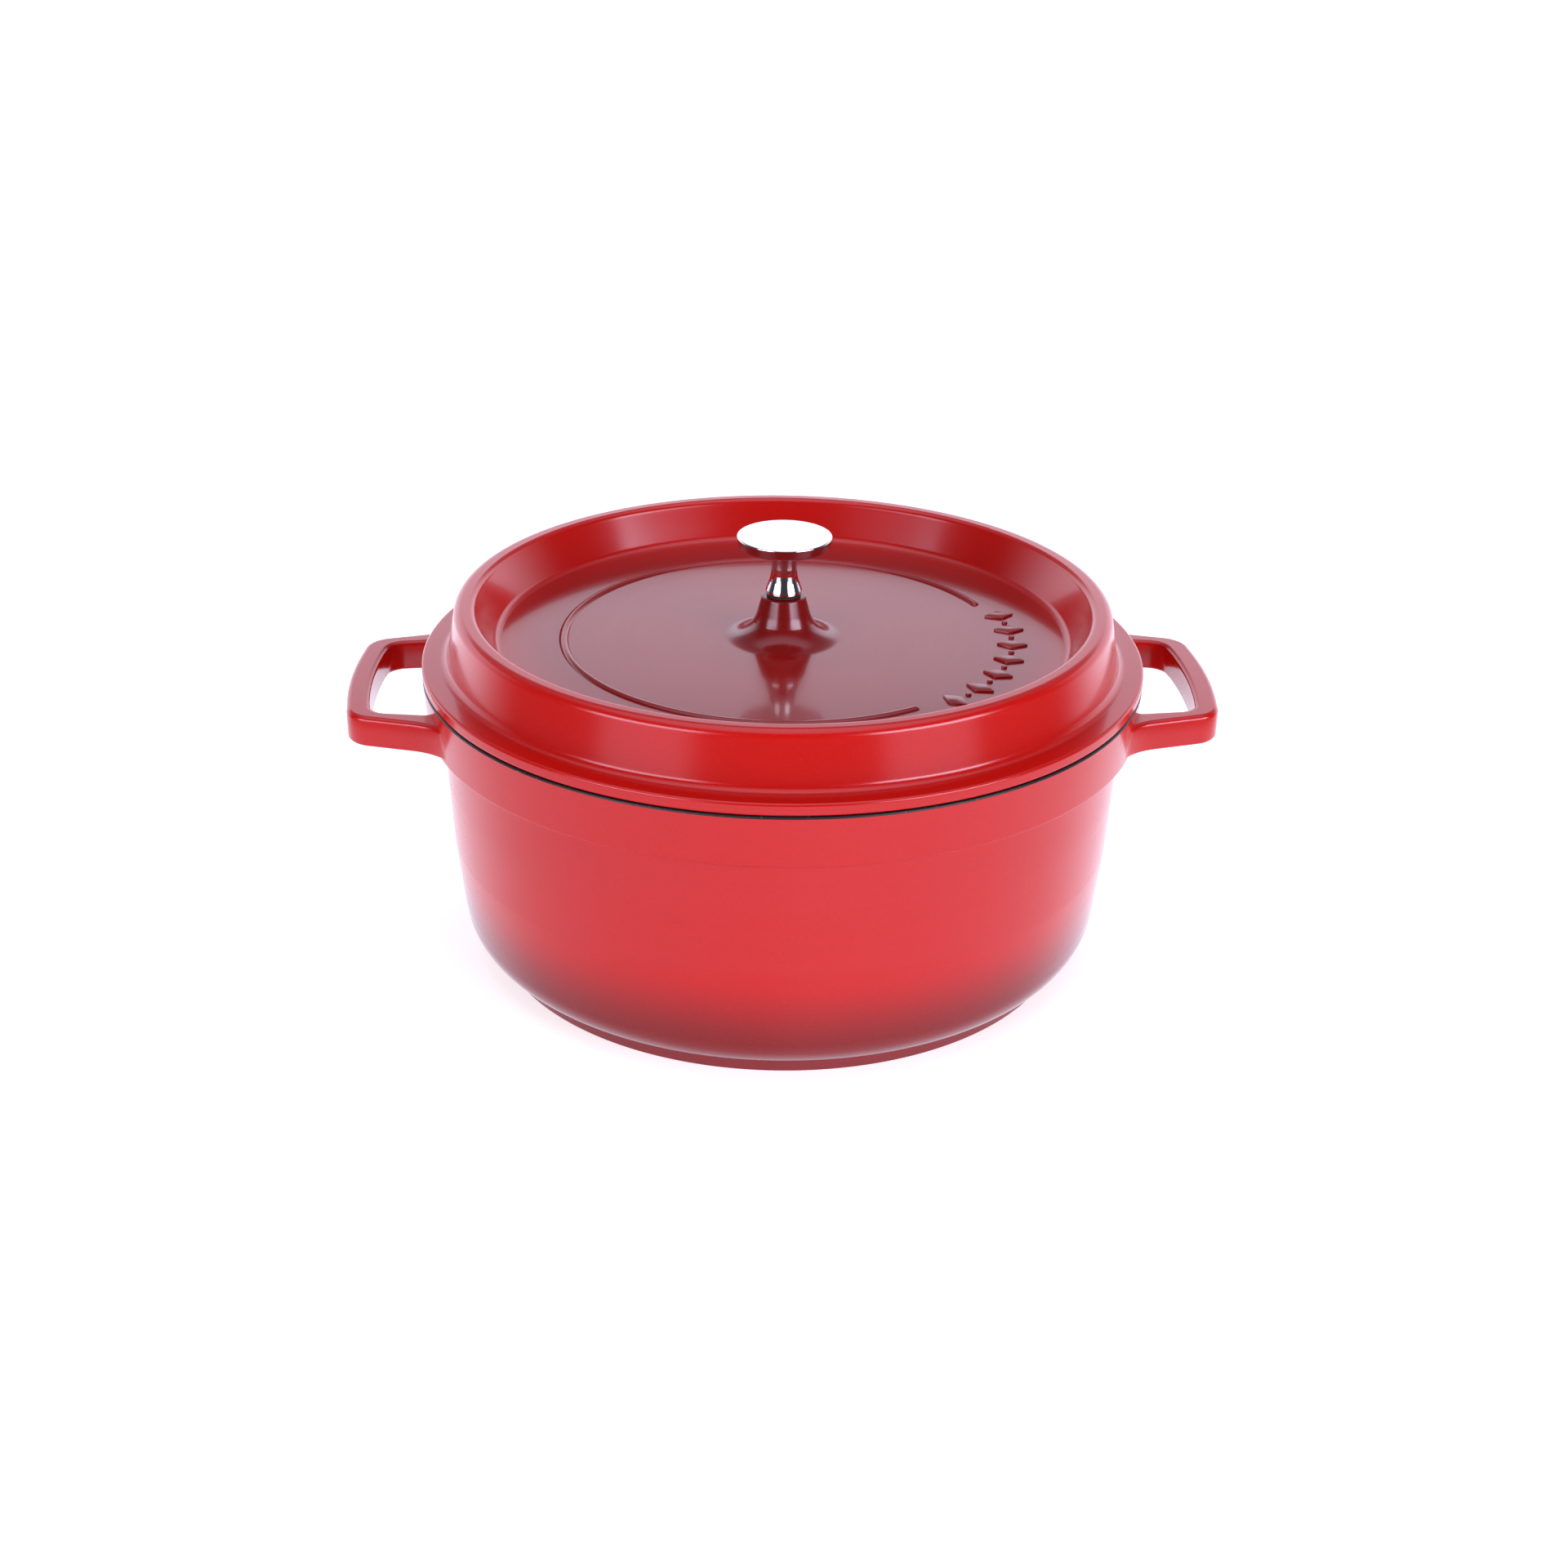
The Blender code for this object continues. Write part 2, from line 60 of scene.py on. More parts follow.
Point = tuple[float, float]
Corner = tuple[float, float, float]
Place = tuple[float, float, float]
Colour = tuple[float, float, float]
Value = "Wire | float"
Piece = bpy.types.Object
Finish = bpy.types.Material

log = logging.getLogger("casserole")


class Body(Enum):
    """The moving bodies that a piece can ride on."""

    POT = "pot"
    COVER = "cover"


class Side(Enum):
    """The two ends of the handle axis."""

    RIGHT = 1.0
    LEFT = -1.0


class Fade(Enum):
    """Where a lacquer is darker: towards the foot, or towards the knob, which on the lid is painted
    shade.
    """

    TOWARDS_FOOT = "foot"
    TOWARDS_KNOB = "knob"


# ---------------------------------------------------------------- outlines


def unit(vector: Point) -> Point:
    """Give a vector of length one in the same direction."""
    length = math.hypot(*vector)
    return (vector[0] / length, vector[1] / length)


def arc(centre: Point, radius: float, start: float, end: float, facet: float = 5.0) -> list[Point]:
    """Points along an arc.

    Args:
        centre: Centre of the arc.
        radius: Its radius.
        start: Angle of its first point, in degrees.
        end: Angle of its last point, in degrees.
        facet: Largest angle between two points, in degrees.

    Returns:
        The points in order, both ends included.
    """
    steps = max(1, math.ceil(abs(end - start) / facet - TOUCH))
    angles = [math.radians(start + (end - start) * i / steps) for i in range(steps + 1)]
    return [(centre[0] + radius * math.cos(a), centre[1] + radius * math.sin(a)) for a in angles]


def rounded(corners: list[Corner], facet: float = 5.0) -> list[Point]:
    """Path through corners that are rounded by arcs.

    Args:
        corners: Each corner's two coordinates and its radius; the two ends stay sharp.
        facet: Largest angle between two points of an arc, in degrees.

    Returns:
        The points of the path.
    """
    points = [corners[0][:2]]
    for before, (x, y, radius), after in zip(corners, corners[1:], corners[2:]):
        if radius == 0.0:
            points.append((x, y))
            continue
        back = unit((before[0] - x, before[1] - y))
        on = unit((after[0] - x, after[1] - y))
        half = 0.5 * math.acos(max(-1.0, min(1.0, back[0] * on[0] + back[1] * on[1])))
        middle = unit((back[0] + on[0], back[1] + on[1]))
        reach, leg = radius / math.sin(half), radius / math.tan(half)
        centre = (x + middle[0] * reach, y + middle[1] * reach)
        start, end = (math.degrees(math.atan2(y + way[1] * leg - centre[1],
                                              x + way[0] * leg - centre[0]))
                      for way in (back, on))
        turn = (end - start + 180.0) % 360.0 - 180.0
        points += arc(centre, radius, start, start + turn, facet)
    return points + [corners[-1][:2]]


def braced(path: list[Point], margin: float = 0.4 * MM, spacing: float = 7.0 * MM) -> list[Point]:
    """Path with extra points on its long runs, so that flats stay flat where they are shaded.

    Args:
        path: The points of the path.
        margin: Distance of the first and last extra point from the ends of a run.
        spacing: Largest distance between the others.

    Returns:
        The points with the extra ones among them.
    """
    points = [path[0]]
    for (x0, y0), (x1, y1) in zip(path, path[1:]):
        length = math.hypot(x1 - x0, y1 - y0)
        stops = []
        if length > 5.0 * margin:
            count = max(1, math.ceil((length - 2.0 * margin) / spacing))
            stops = [margin + (length - 2.0 * margin) * i / count for i in range(count + 1)]
        for stop in stops:
            points.append((x0 + (x1 - x0) * stop / length, y0 + (y1 - y0) * stop / length))
        points.append((x1, y1))
    return points


# ---------------------------------------------------------------- modelling


def deselect_all() -> None:
    """Leave object mode with nothing selected."""
    if bpy.context.object and bpy.context.object.mode != "OBJECT":
        bpy.ops.object.mode_set(mode="OBJECT")
    bpy.ops.object.select_all(action="DESELECT")


def take_up(piece: Piece) -> None:
    """Make a piece the only selected and the active object."""
    deselect_all()
    piece.select_set(True)
    bpy.context.view_layer.objects.active = piece


def named(piece: Piece, name: str) -> Piece:
    """Name the selected piece and put its place into its mesh.

    Args:
        piece: The selected and active piece.
        name: Its name, and its mesh's.

    Returns:
        The same piece.
    """
    piece.name = name
    piece.data.name = name
    bpy.ops.object.transform_apply(location=True, rotation=True, scale=True)
    return piece


def select_where(kind: str, rule: Callable[[Vector, Vector], bool]) -> int:
    """Select the faces or edges of the mesh being edited that fit a rule.

    Args:
        kind: "FACE" or "EDGE".
        rule: Takes a face's centre and normal, or an edge's two ends.

    Returns:
        How many were selected.
    """
    bpy.ops.mesh.select_mode(type=kind)
    bpy.ops.mesh.select_all(action="DESELECT")
    mesh = bmesh.from_edit_mesh(bpy.context.object.data)
    count = 0
    for part in mesh.faces if kind == "FACE" else mesh.edges:
        if kind == "FACE":
            fits = rule(part.calc_center_median(), part.normal)
        else:
            fits = rule(part.verts[0].co, part.verts[1].co)
        if fits:
            part.select_set(True)
            count += 1
    bmesh.update_edit_mesh(bpy.context.object.data)
    return count


def draw_path(name: str, points: Iterable[Place]) -> Piece:
    """Draw an open wire by extruding one vertex from point to point, and stay in edit mode.

    Args:
        name: Name of the new piece.
        points: The wire's points.

    Returns:
        The new piece.
    """
    points = [Vector(point) for point in points]
    deselect_all()
    bpy.ops.mesh.primitive_plane_add(size=MM, location=points[0])
    piece = named(bpy.context.object, name)
    bpy.ops.object.mode_set(mode="EDIT")
    bpy.ops.mesh.select_mode(type="VERT")
    bpy.ops.mesh.select_all(action="SELECT")
    bpy.ops.mesh.merge(type="CENTER")
    for here, there in zip(points, points[1:]):
        bpy.ops.mesh.extrude_vertices_move(TRANSFORM_OT_translate={"value": there - here})
    return piece


def draw_face(name: str, outline: Iterable[Place]) -> Piece:
    """Draw a closed outline and fill it with one face.

    Args:
        name: Name of the new piece.
        outline: Its points.

    Returns:
        The new piece, in edit mode with all of it selected.
    """
    piece = draw_path(name, outline)
    bpy.ops.mesh.select_all(action="SELECT")
    bpy.ops.mesh.edge_face_add()
    bpy.ops.mesh.select_all(action="SELECT")
    return piece


def face_outwards() -> None:
    """Turn every face of the closed mesh being edited outwards."""
    bpy.ops.mesh.select_all(action="SELECT")
    bpy.ops.mesh.normals_make_consistent(inside=False)


def turned_sheet(name: str, path: list[Point], steps: int, finish: Finish) -> Piece:
    """Turn an open path of (radius, height) points about the vertical axis.

    Args:
        name: Name of the sheet.
        path: Its section.
        steps: Facets round the axis.
        finish: Material of the whole sheet.

    Returns:
        The sheet, in object mode.
    """
    piece = draw_path(name, [(radius, 0.0, height) for radius, height in path])
    bpy.ops.mesh.select_all(action="SELECT")
    bpy.ops.mesh.spin(steps=steps, angle=2.0 * math.pi, center=ORIGIN, axis=UP)
    bpy.ops.mesh.select_all(action="SELECT")
    bpy.ops.mesh.remove_doubles(threshold=TOUCH)
    bpy.ops.object.mode_set(mode="OBJECT")
    piece.data.materials.append(finish)
    return piece


def joined(name: str, parts: list[Piece]) -> Piece:
    """Join sheets that share edges into one closed piece whose faces point out.

    Args:
        name: Name of the piece.
        parts: The sheets, or whole pieces that stay apart; they are used up.

    Returns:
        The piece, in object mode.
    """
    take_up(parts[0])
    for part in parts[1:]:
        part.select_set(True)
    if len(parts) > 1:
        bpy.ops.object.join()
    piece = named(bpy.context.object, name)
    bpy.ops.object.mode_set(mode="EDIT")
    bpy.ops.mesh.select_all(action="SELECT")
    bpy.ops.mesh.remove_doubles(threshold=TOUCH)
    face_outwards()
    bpy.ops.object.mode_set(mode="OBJECT")
    return piece


def turned(name: str, path: list[Point], steps: int, finish: Finish) -> Piece:
    """Turn a section whose two ends meet, or both lie on the axis, into a closed piece."""
    return joined(name, [turned_sheet(name, path, steps, finish)])


def combine(piece: Piece, tool: Piece, operation: str) -> None:
    """Unite a piece with a tool or cut it by the tool.

    Args:
        piece: The piece that changes.
        tool: The other closed piece; it is used up.
        operation: "UNION" or "DIFFERENCE".
    """
    take_up(piece)
    step = piece.modifiers.new(tool.name, "BOOLEAN")
    step.operation = operation
    step.solver = "EXACT"
    step.object = tool
    bpy.ops.object.modifier_apply(modifier=step.name)
    bpy.data.objects.remove(tool, do_unlink=True)


def smooth(piece: Piece, angle: float = 32.0) -> None:
    """Shade a piece smooth, apart from edges sharper than an angle in degrees."""
    take_up(piece)
    bpy.ops.object.shade_smooth_by_angle(angle=math.radians(angle))


def hand_over(piece: Piece, body: Body, node: str) -> None:
    """Let a finished piece ride on its body in place of its CAD node, and report it.

    Args:
        piece: The finished piece.
        body: The moving body that carries it.
        node: The CAD node that it stands for.
    """
    smooth(piece)
    deselect_all()
    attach(piece, body.value)
    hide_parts(node)
    triangles = sum(len(face.vertices) - 2 for face in piece.data.polygons)
    log.info("%s: %d triangles, rides on %s", piece.name, triangles, body.value)


# ---------------------------------------------------------------- shader maths


class Wire:
    """A number on its way through a material's nodes; its arithmetic adds Math nodes."""

    def __init__(self, tree: bpy.types.NodeTree, socket: bpy.types.NodeSocket) -> None:
        """Keep the tree and the output socket that the number comes from."""
        self.tree = tree
        self.socket = socket

    def _math(self, operation: str, *values: "Value") -> "Wire":
        """Add one Math node.

        Args:
            operation: What it works out.
            *values: Its inputs, in order.

        Returns:
            The result.
        """
        node = self.tree.nodes.new("ShaderNodeMath")
        node.operation = operation
        for place, value in enumerate(values):
            if isinstance(value, Wire):
                self.tree.links.new(value.socket, node.inputs[place])
            else:
                node.inputs[place].default_value = value
        return Wire(self.tree, node.outputs[0])

    def __add__(self, other: "Value") -> "Wire":
        """Self plus other."""
        return self._math("ADD", self, other)

    __radd__ = __add__

    def __sub__(self, other: "Value") -> "Wire":
        """Self minus other."""
        return self._math("SUBTRACT", self, other)

    def __rsub__(self, other: "Value") -> "Wire":
        """Other minus self."""
        return self._math("SUBTRACT", other, self)

    def __mul__(self, other: "Value") -> "Wire":
        """Self times other."""
        return self._math("MULTIPLY", self, other)

    __rmul__ = __mul__

    def __pow__(self, other: "Value") -> "Wire":
        """Self to the power of other."""
        return self._math("POWER", self, other)

    def __rpow__(self, other: "Value") -> "Wire":
        """Other to the power of self."""
        return self._math("POWER", other, self)


class Network:
    """The nodes of a material or of the world, under construction."""

    def __init__(self, tree: bpy.types.NodeTree) -> None:
        """Take the node tree to build in."""
        self.tree = tree

    def node(self, kind: str, settings: dict, inputs: dict, output: int | str = 0) -> Wire:
        """Add any node.

        Args:
            kind: The node's type.
            settings: Its properties, such as a Math node's operation; they are set first.
            inputs: Values or wires by socket name or number.
            output: Which of its outputs to give back.

        Returns:
            The wire from that output.
        """
        node = self.tree.nodes.new(kind)
        for key, value in settings.items():
            setattr(node, key, value)
        for key, value in inputs.items():
            if isinstance(value, Wire):
                self.tree.links.new(value.socket, node.inputs[key])
            else:
                node.inputs[key].default_value = value
        return Wire(self.tree, node.outputs[output])

    def place(self, kind: str = "Object") -> Wire:
        """Coordinates of the point that is shaded."""
        return self.node("ShaderNodeTexCoord", {}, {}, kind)

    def axes(self, kind: str = "Object") -> tuple[Wire, Wire, Wire]:
        """The three coordinates of the point that is shaded, as numbers."""
        split = self.node("ShaderNodeSeparateXYZ", {}, {0: self.place(kind)})
        return tuple(Wire(self.tree, out) for out in split.socket.node.outputs)

    def heading(self, y: "Value", x: "Value") -> Wire:
        """Angle of the direction (x, y), in radians."""
        return self.node("ShaderNodeMath", {"operation": "ARCTAN2"}, {0: y, 1: x})

    def round_the_axis(self) -> tuple[Wire, Wire]:
        """Distance from the vertical axis, and the angle about it."""
        x, y, _ = self.axes()
        return (x * x + y * y) ** 0.5, self.heading(y, x)

    def noise(self, scale: float, detail: float = 2.0, vector: Wire | None = None) -> Wire:
        """Smooth noise from 0 to 1 whose grain is about 1 / scale wide."""
        inputs = {"Vector": vector or self.place(), "Scale": scale, "Detail": detail}
        return self.node("ShaderNodeTexNoise", {}, inputs)

    def ease(self, value: Wire, start: float, end: float) -> Wire:
        """Rise smoothly from 0 at start to 1 at end."""
        inputs = {"Value": value, "From Min": start, "From Max": end}
        return self.node("ShaderNodeMapRange", {"interpolation_type": "SMOOTHSTEP"}, inputs)

    def between(self, value: Wire, start: float, end: float, soft: float) -> Wire:
        """One from start to end and 0 outside, with soft edges of a given width."""
        rise = self.ease(value, start - soft / 2.0, start + soft / 2.0)
        return rise * (1.0 - self.ease(value, end - soft / 2.0, end + soft / 2.0))

    def blend(self, mask: "Value", low: "Wire | Colour", high: "Wire | Colour") -> Wire:
        """Mix two colours.

        Args:
            mask: How much of the second colour, from 0 to 1.
            low: First colour.
            high: Second colour.

        Returns:
            The mixed colour.
        """
        ends = [c if isinstance(c, Wire) else (*c, 1.0) for c in (low, high)]
        settings = {"data_type": "RGBA", "clamp_factor": True}
        return self.node("ShaderNodeMix", settings, {0: mask, 6: ends[0], 7: ends[1]}, 2)

    def vector(self, x: "Value", y: "Value", z: "Value") -> Wire:
        """Vector of three numbers."""
        return self.node("ShaderNodeCombineXYZ", {}, {0: x, 1: y, 2: z})


class Coating(Network):
    """One material under construction, with a Principled shader already in it."""

    def __init__(self, name: str) -> None:
        """Start an empty material that holds only its shader."""
        self.material = bpy.data.materials.new(name)
        self.material.use_nodes = True
        super().__init__(self.material.node_tree)
        self.shader = self.tree.nodes["Principled BSDF"]

    def set(self, **values: "Value | Colour") -> None:
        """Set or link the shader's sockets.

        Args:
            **values: Numbers, colours or wires by socket name, in small letters and with
                underscores for spaces.
        """
        for key, value in values.items():
            socket = self.shader.inputs[key.replace("_", " ").title().replace("Ior", "IOR")]
            if isinstance(value, Wire):
                self.tree.links.new(value.socket, socket)
            else:
                socket.default_value = (*value, 1.0) if isinstance(value, tuple) else value

    def relief(self, height: Wire, depth: float) -> None:
        """Bump the surface by a height from 0 to 1, a given depth in metres."""
        inputs = {"Height": height, "Distance": depth, "Strength": 1.0}
        self.set(normal=self.node("ShaderNodeBump", {}, inputs))


# ---------------------------------------------------------------- finishes


@dataclass(frozen=True)
class DarkenedLacquer:
    """Glossy red lacquer over fine metal flake, darker towards one end.

    The colour changes from dark_at to bright_at, which are heights or distances from the axis.
    Towards the knob this darker colour is painted shade on the lid's up-facing panel.
    A third, darker colour within core_within of the axis is painted shade on the boss under the
    knob.
    """

    name: str
    fade: Fade
    dark_at: float
    bright_at: float
    core_within: float = 0.0
    core_edge: Point = (0.8, 1.25)
    bright: Colour = (0.49, 0.0048, 0.0022)
    # deep is the darker colour, painted shade where it darkens the lid; core is painted shade on
    # the lid's boss under the knob.
    deep: Colour = (0.2, 0.0055, 0.0045)
    core: Colour = (0.19, 0.005, 0.004)
    flake: Colour = (0.85, 0.1, 0.08)
    clouds: float = 18.0
    drift: float = 5.0 * MM
    grain: float = 2600.0
    flakes: Point = (0.58, 0.85)
    flake_share: float = 0.2
    wipes: float = 900.0
    wipe_share: float = 0.16
    peel: float = 260.0
    relief: float = 0.008 * MM
    roughness: float = 0.21
    ior: float = 1.46
    tint: Colour = (1.0, 0.9, 1.0)
    coat: float = 0.25
    coat_roughness: float = 0.07

    def make(self) -> Finish:
        """Build the material."""
        work = Coating(self.name)
        radius, angle = work.round_the_axis()
        height = work.axes()[2]
        along = height if self.fade is Fade.TOWARDS_FOOT else radius
        drift = (work.noise(self.clouds) - 0.5) * self.drift
        # Darker from dark_at to bright_at: towards the foot on the pot, and painted shade on the
        # lid's panel towards the knob.
        shade = work.ease(along + drift, self.dark_at, self.bright_at)
        base = work.blend(shade, self.deep, self.bright)
        # Darker still near the axis: painted shade on the lid's boss under the knob.
        if self.core_within:
            start, end = (edge * self.core_within for edge in self.core_edge)
            base = work.blend(work.ease(along, start, end), self.core, base)
        grain = work.noise(self.grain, 1.0)
        flaked = work.blend(work.ease(grain, *self.flakes) * self.flake_share, base, self.flake)
        spread = work.vector(radius * self.wipes, height * self.wipes, angle * 1.5)
        wipes = work.noise(1.0, 3.0, spread)
        work.set(base_color=work.blend((wipes - 0.4) * self.wipe_share, flaked, self.deep),
                 roughness=self.roughness + (wipes - 0.5) * 0.1 + (grain - 0.5) * 0.08,
                 metallic=0.0, ior=self.ior, specular_tint=self.tint,
                 coat_weight=self.coat, coat_roughness=self.coat_roughness)
        work.relief(work.noise(self.peel, 2.0) * 0.7 + grain * 0.3, self.relief)
        return work.material


@dataclass(frozen=True)
class NonStick:
    """Black sprayed coating with fine grey specks."""

    name: str = "non_stick_black"
    ground: Colour = (0.014, 0.014, 0.015)
    speck: Colour = (0.16, 0.16, 0.165)
    specks: float = 1500.0
    speck_edge: Point = (0.68, 0.76)
    clouds: float = 60.0
    grain: float = 700.0
    relief: float = 0.03 * MM
    roughness: float = 0.4

    def make(self) -> Finish:
        """Build the material."""
        work = Coating(self.name)
        specks = work.ease(work.noise(self.specks, 1.0), *self.speck_edge)
        cloud = work.noise(self.clouds, 3.0)
        work.set(base_color=work.blend(specks, self.ground, self.speck), metallic=0.0,
                 roughness=self.roughness + (cloud - 0.5) * 0.16 - specks * 0.1)
        work.relief(work.noise(self.grain, 3.0), self.relief)
        return work.material


@dataclass(frozen=True)
class PolishedSteel:
    """Bright turned and polished stainless steel."""

    name: str = "polished_steel"
    colour: Colour = (0.8, 0.79, 0.785)
    filmed: Colour = (0.74, 0.73, 0.735)
    lines: float = 9000.0
    film: float = 120.0
    relief: float = 0.0006 * MM
    roughness: float = 0.07

    def make(self) -> Finish:
        """Build the material."""
        work = Coating(self.name)
        radius, _ = work.round_the_axis()
        height = work.axes()[2]
        lines = work.noise(1.0, 2.0, work.vector(radius * self.lines, height * self.lines, 0.0))
        film = work.noise(self.film, 3.0)
        tint = work.blend(film * 0.5, self.colour, self.filmed)
        work.set(base_color=tint, metallic=1.0,
                 roughness=self.roughness + lines * 0.05 + (film - 0.5) * 0.04)
        work.relief(lines, self.relief)
        return work.material


@dataclass(frozen=True)
class FacedSteel:
    """Stainless plate with the rings that facing on a lathe leaves."""

    name: str = "faced_steel"
    colour: Colour = (0.56, 0.55, 0.54)
    ridge: Colour = (0.7, 0.69, 0.68)
    worn: Colour = (0.42, 0.4, 0.38)
    rings: float = 2400.0
    wear: float = 25.0
    relief: float = 0.01 * MM
    roughness: float = 0.3

    def make(self) -> Finish:
        """Build the material."""
        work = Coating(self.name)
        radius, angle = work.round_the_axis()
        rings = work.noise(1.0, 4.0, work.vector(radius * self.rings, angle * 0.6, 0.0))
        wear = work.noise(self.wear, 4.0)
        colour = work.blend(rings, self.colour, self.ridge)
        work.set(base_color=work.blend(work.ease(wear, 0.5, 0.8) * 0.4, colour, self.worn),
                 metallic=1.0, roughness=self.roughness + (rings - 0.5) * 0.2 + (wear - 0.5) * 0.12)
        work.relief(rings, self.relief)
        return work.material


@dataclass(frozen=True)
class PlatedSteel:
    """Zinc-plated fixings: pale, slightly blue and faintly mottled."""

    name: str = "plated_steel"
    colour: Colour = (0.55, 0.57, 0.6)
    pale: Colour = (0.68, 0.67, 0.62)
    mottle: float = 900.0
    relief: float = 0.005 * MM
    roughness: float = 0.28

    def make(self) -> Finish:
        """Build the material."""
        work = Coating(self.name)
        mottle = work.noise(self.mottle, 3.0)
        tint = work.blend(work.ease(mottle, 0.35, 0.7), self.colour, self.pale)
        work.set(base_color=tint, metallic=1.0, roughness=self.roughness + (mottle - 0.5) * 0.2)
        work.relief(mottle, self.relief)
        return work.material


@dataclass(frozen=True)
class SiliconeRubber:
    """Matt black moulded rubber."""

    name: str = "silicone_rubber"
    colour: Colour = (0.02, 0.02, 0.021)
    dusty: Colour = (0.05, 0.05, 0.052)
    grain: float = 2200.0
    relief: float = 0.01 * MM
    roughness: float = 0.6

    def make(self) -> Finish:
        """Build the material."""
        work = Coating(self.name)
        grain = work.noise(self.grain, 2.0)
        work.set(base_color=work.blend(grain * 0.5, self.colour, self.dusty),
                 roughness=self.roughness + (grain - 0.5) * 0.2)
        work.relief(grain, self.relief)
        return work.material


@dataclass(frozen=True)
class StudioPaper:
    """White floor that glows faintly, as a light table does."""

    name: str = "studio_paper"
    colour: Colour = (0.86, 0.86, 0.86)
    glow_colour: Colour = (1.0, 1.0, 1.0)
    glow: float = 0.62
    roughness: float = 0.9

    def make(self) -> Finish:
        """Build the material."""
        work = Coating(self.name)
        work.set(base_color=self.colour, roughness=self.roughness,
                 emission_color=self.glow_colour, emission_strength=self.glow)
        return work.material


# ---------------------------------------------------------------- the pot


@dataclass
class LoopHandle:
    """One loop handle, cast in one with the band under the rim."""

    top: float = 114.6 * MM
    depth: float = 12.6 * MM
    reach: float = 174.8 * MM
    grip_width: float = 9.3 * MM
    grip_bow: float = 218.0 * MM
    arm_half_span: float = 46.6 * MM
    arm_taper: float = -0.275
    arm_start: float = 148.0 * MM
    window_half_span: float = 37.4 * MM
    window_taper: float = -0.12
    flare: float = 25.0 * MM
    window_fillet: float = 2.5 * MM
    band_radius: float = 143.3 * MM
    bury_radius: float = 140.3 * MM
    bar_half_span: float = 25.0 * MM
    bar_steps: int = 14
    corner_inset: float = 1.7 * MM
    outer_corner: float = 12.0 * MM
    inner_corner: float = 8.0 * MM
    edge: float = 1.8 * MM
    edge_margin: float = 0.05 * MM
    flat_margin: float = 0.35 * MM

    def _root(self, half_span: float, taper: float, radius: float) -> list[Point]:
        """Fillet in plan from inside the band to an arm face.

        Args:
            half_span: Half span of the arm face at arm_start.
            taper: Change of the half span along X.
            radius: The fillet's radius; negative where the face looks inwards.

        Returns:
            Points from inside the band's wall to the arm face.
        """
        normal = unit((-taper, 1.0))
        offset = normal[0] * self.arm_start + normal[1] * half_span + radius
        along = math.sqrt((self.band_radius + abs(radius)) ** 2 - offset ** 2)
        centre = (normal[0] * offset + normal[1] * along, normal[1] * offset - normal[0] * along)
        facing = math.copysign(1.0, radius)
        on_arm = math.degrees(math.atan2(-facing * normal[1], -facing * normal[0]))
        on_band = math.degrees(math.atan2(-centre[1], -centre[0]))
        turn = (on_arm - on_band + 180.0) % 360.0 - 180.0
        points = arc(centre, abs(radius), on_band, on_band + turn)
        inward = unit(points[0])
        return [(inward[0] * self.bury_radius, inward[1] * self.bury_radius)] + points

    def _bar(self, reach: float) -> list[Point]:
        """Bowed side of the grip bar, from its far corner to the middle."""
        spans = [self.bar_half_span * (1.0 - i / self.bar_steps)
                 for i in range(self.bar_steps + 1)]
        return [(reach - y * y / (2.0 * self.grip_bow), y) for y in spans]

    def _face(self, reach: float, span: float, taper: float, corner: float,
              radius: float) -> list[Point]:
        """Half of one side of the loop, from the band to the middle of the grip.

        Args:
            reach: Distance of the grip's middle from the axis.
            span: Half span of the arm face at arm_start.
            taper: Change of the half span along X.
            corner: Radius of the corner between arm and grip.
            radius: Radius of the fillet at the band; negative where the face looks inwards.

        Returns:
            Its points.
        """
        root = self._root(span, taper, radius)
        bar = self._bar(reach)
        corner_x = bar[0][0] - self.corner_inset
        corner_y = span + taper * (corner_x - self.arm_start)
        turn = rounded([(*root[-1], 0.0), (corner_x, corner_y, corner), (*bar[0], 0.0)])
        return root + turn[1:-1] + bar

    def outline(self, side: Side) -> list[Point]:
        """Closed plan of the handle: its outer side, then its inner side back.

        Args:
            side: The end of the handle axis that it stands at.

        Returns:
            The plan's points.
        """
        outer = self._face(self.reach, self.arm_half_span, self.arm_taper,
                           self.outer_corner, self.flare)
        inner = self._face(self.reach - self.grip_width, self.window_half_span,
                           self.window_taper, self.inner_corner, -self.window_fillet)
        points = outer + [(x, -y) for x, y in reversed(outer[:-1])]
        points += [(x, -y) for x, y in inner] + list(reversed(inner[:-1]))
        return [(side.value * x, side.value * y) for x, y in points]

    def build(self, side: Side, finish: Finish) -> Piece:
        """Model the handle as a solid whose ends lie inside the band's wall.

        Args:
            side: The end of the handle axis that it stands at.
            finish: Material of the whole handle.

        Returns:
            The handle, in object mode.
        """
        piece = draw_face("handle", [(x, y, self.top) for x, y in self.outline(side)])
        bpy.ops.mesh.extrude_region_move(TRANSFORM_OT_translate={"value": (0.0, 0.0, -self.depth)})
        face_outwards()
        within = self.band_radius - self.edge_margin

        def is_long_edge(a: Vector, b: Vector) -> bool:
            """Whether an edge runs along the top or bottom outside the band."""
            return abs(a.z - b.z) < TOUCH and min(a.xy.length, b.xy.length) > within

        select_where("EDGE", is_long_edge)
        bpy.ops.mesh.bevel(offset=self.edge, segments=6, profile=0.5, clamp_overlap=False)
        select_where("FACE", lambda centre, normal: abs(normal.z) > 0.999)
        bpy.ops.mesh.inset(thickness=self.flat_margin, use_individual=True)
        bpy.ops.object.mode_set(mode="OBJECT")
        piece.data.materials.append(finish)
        return piece


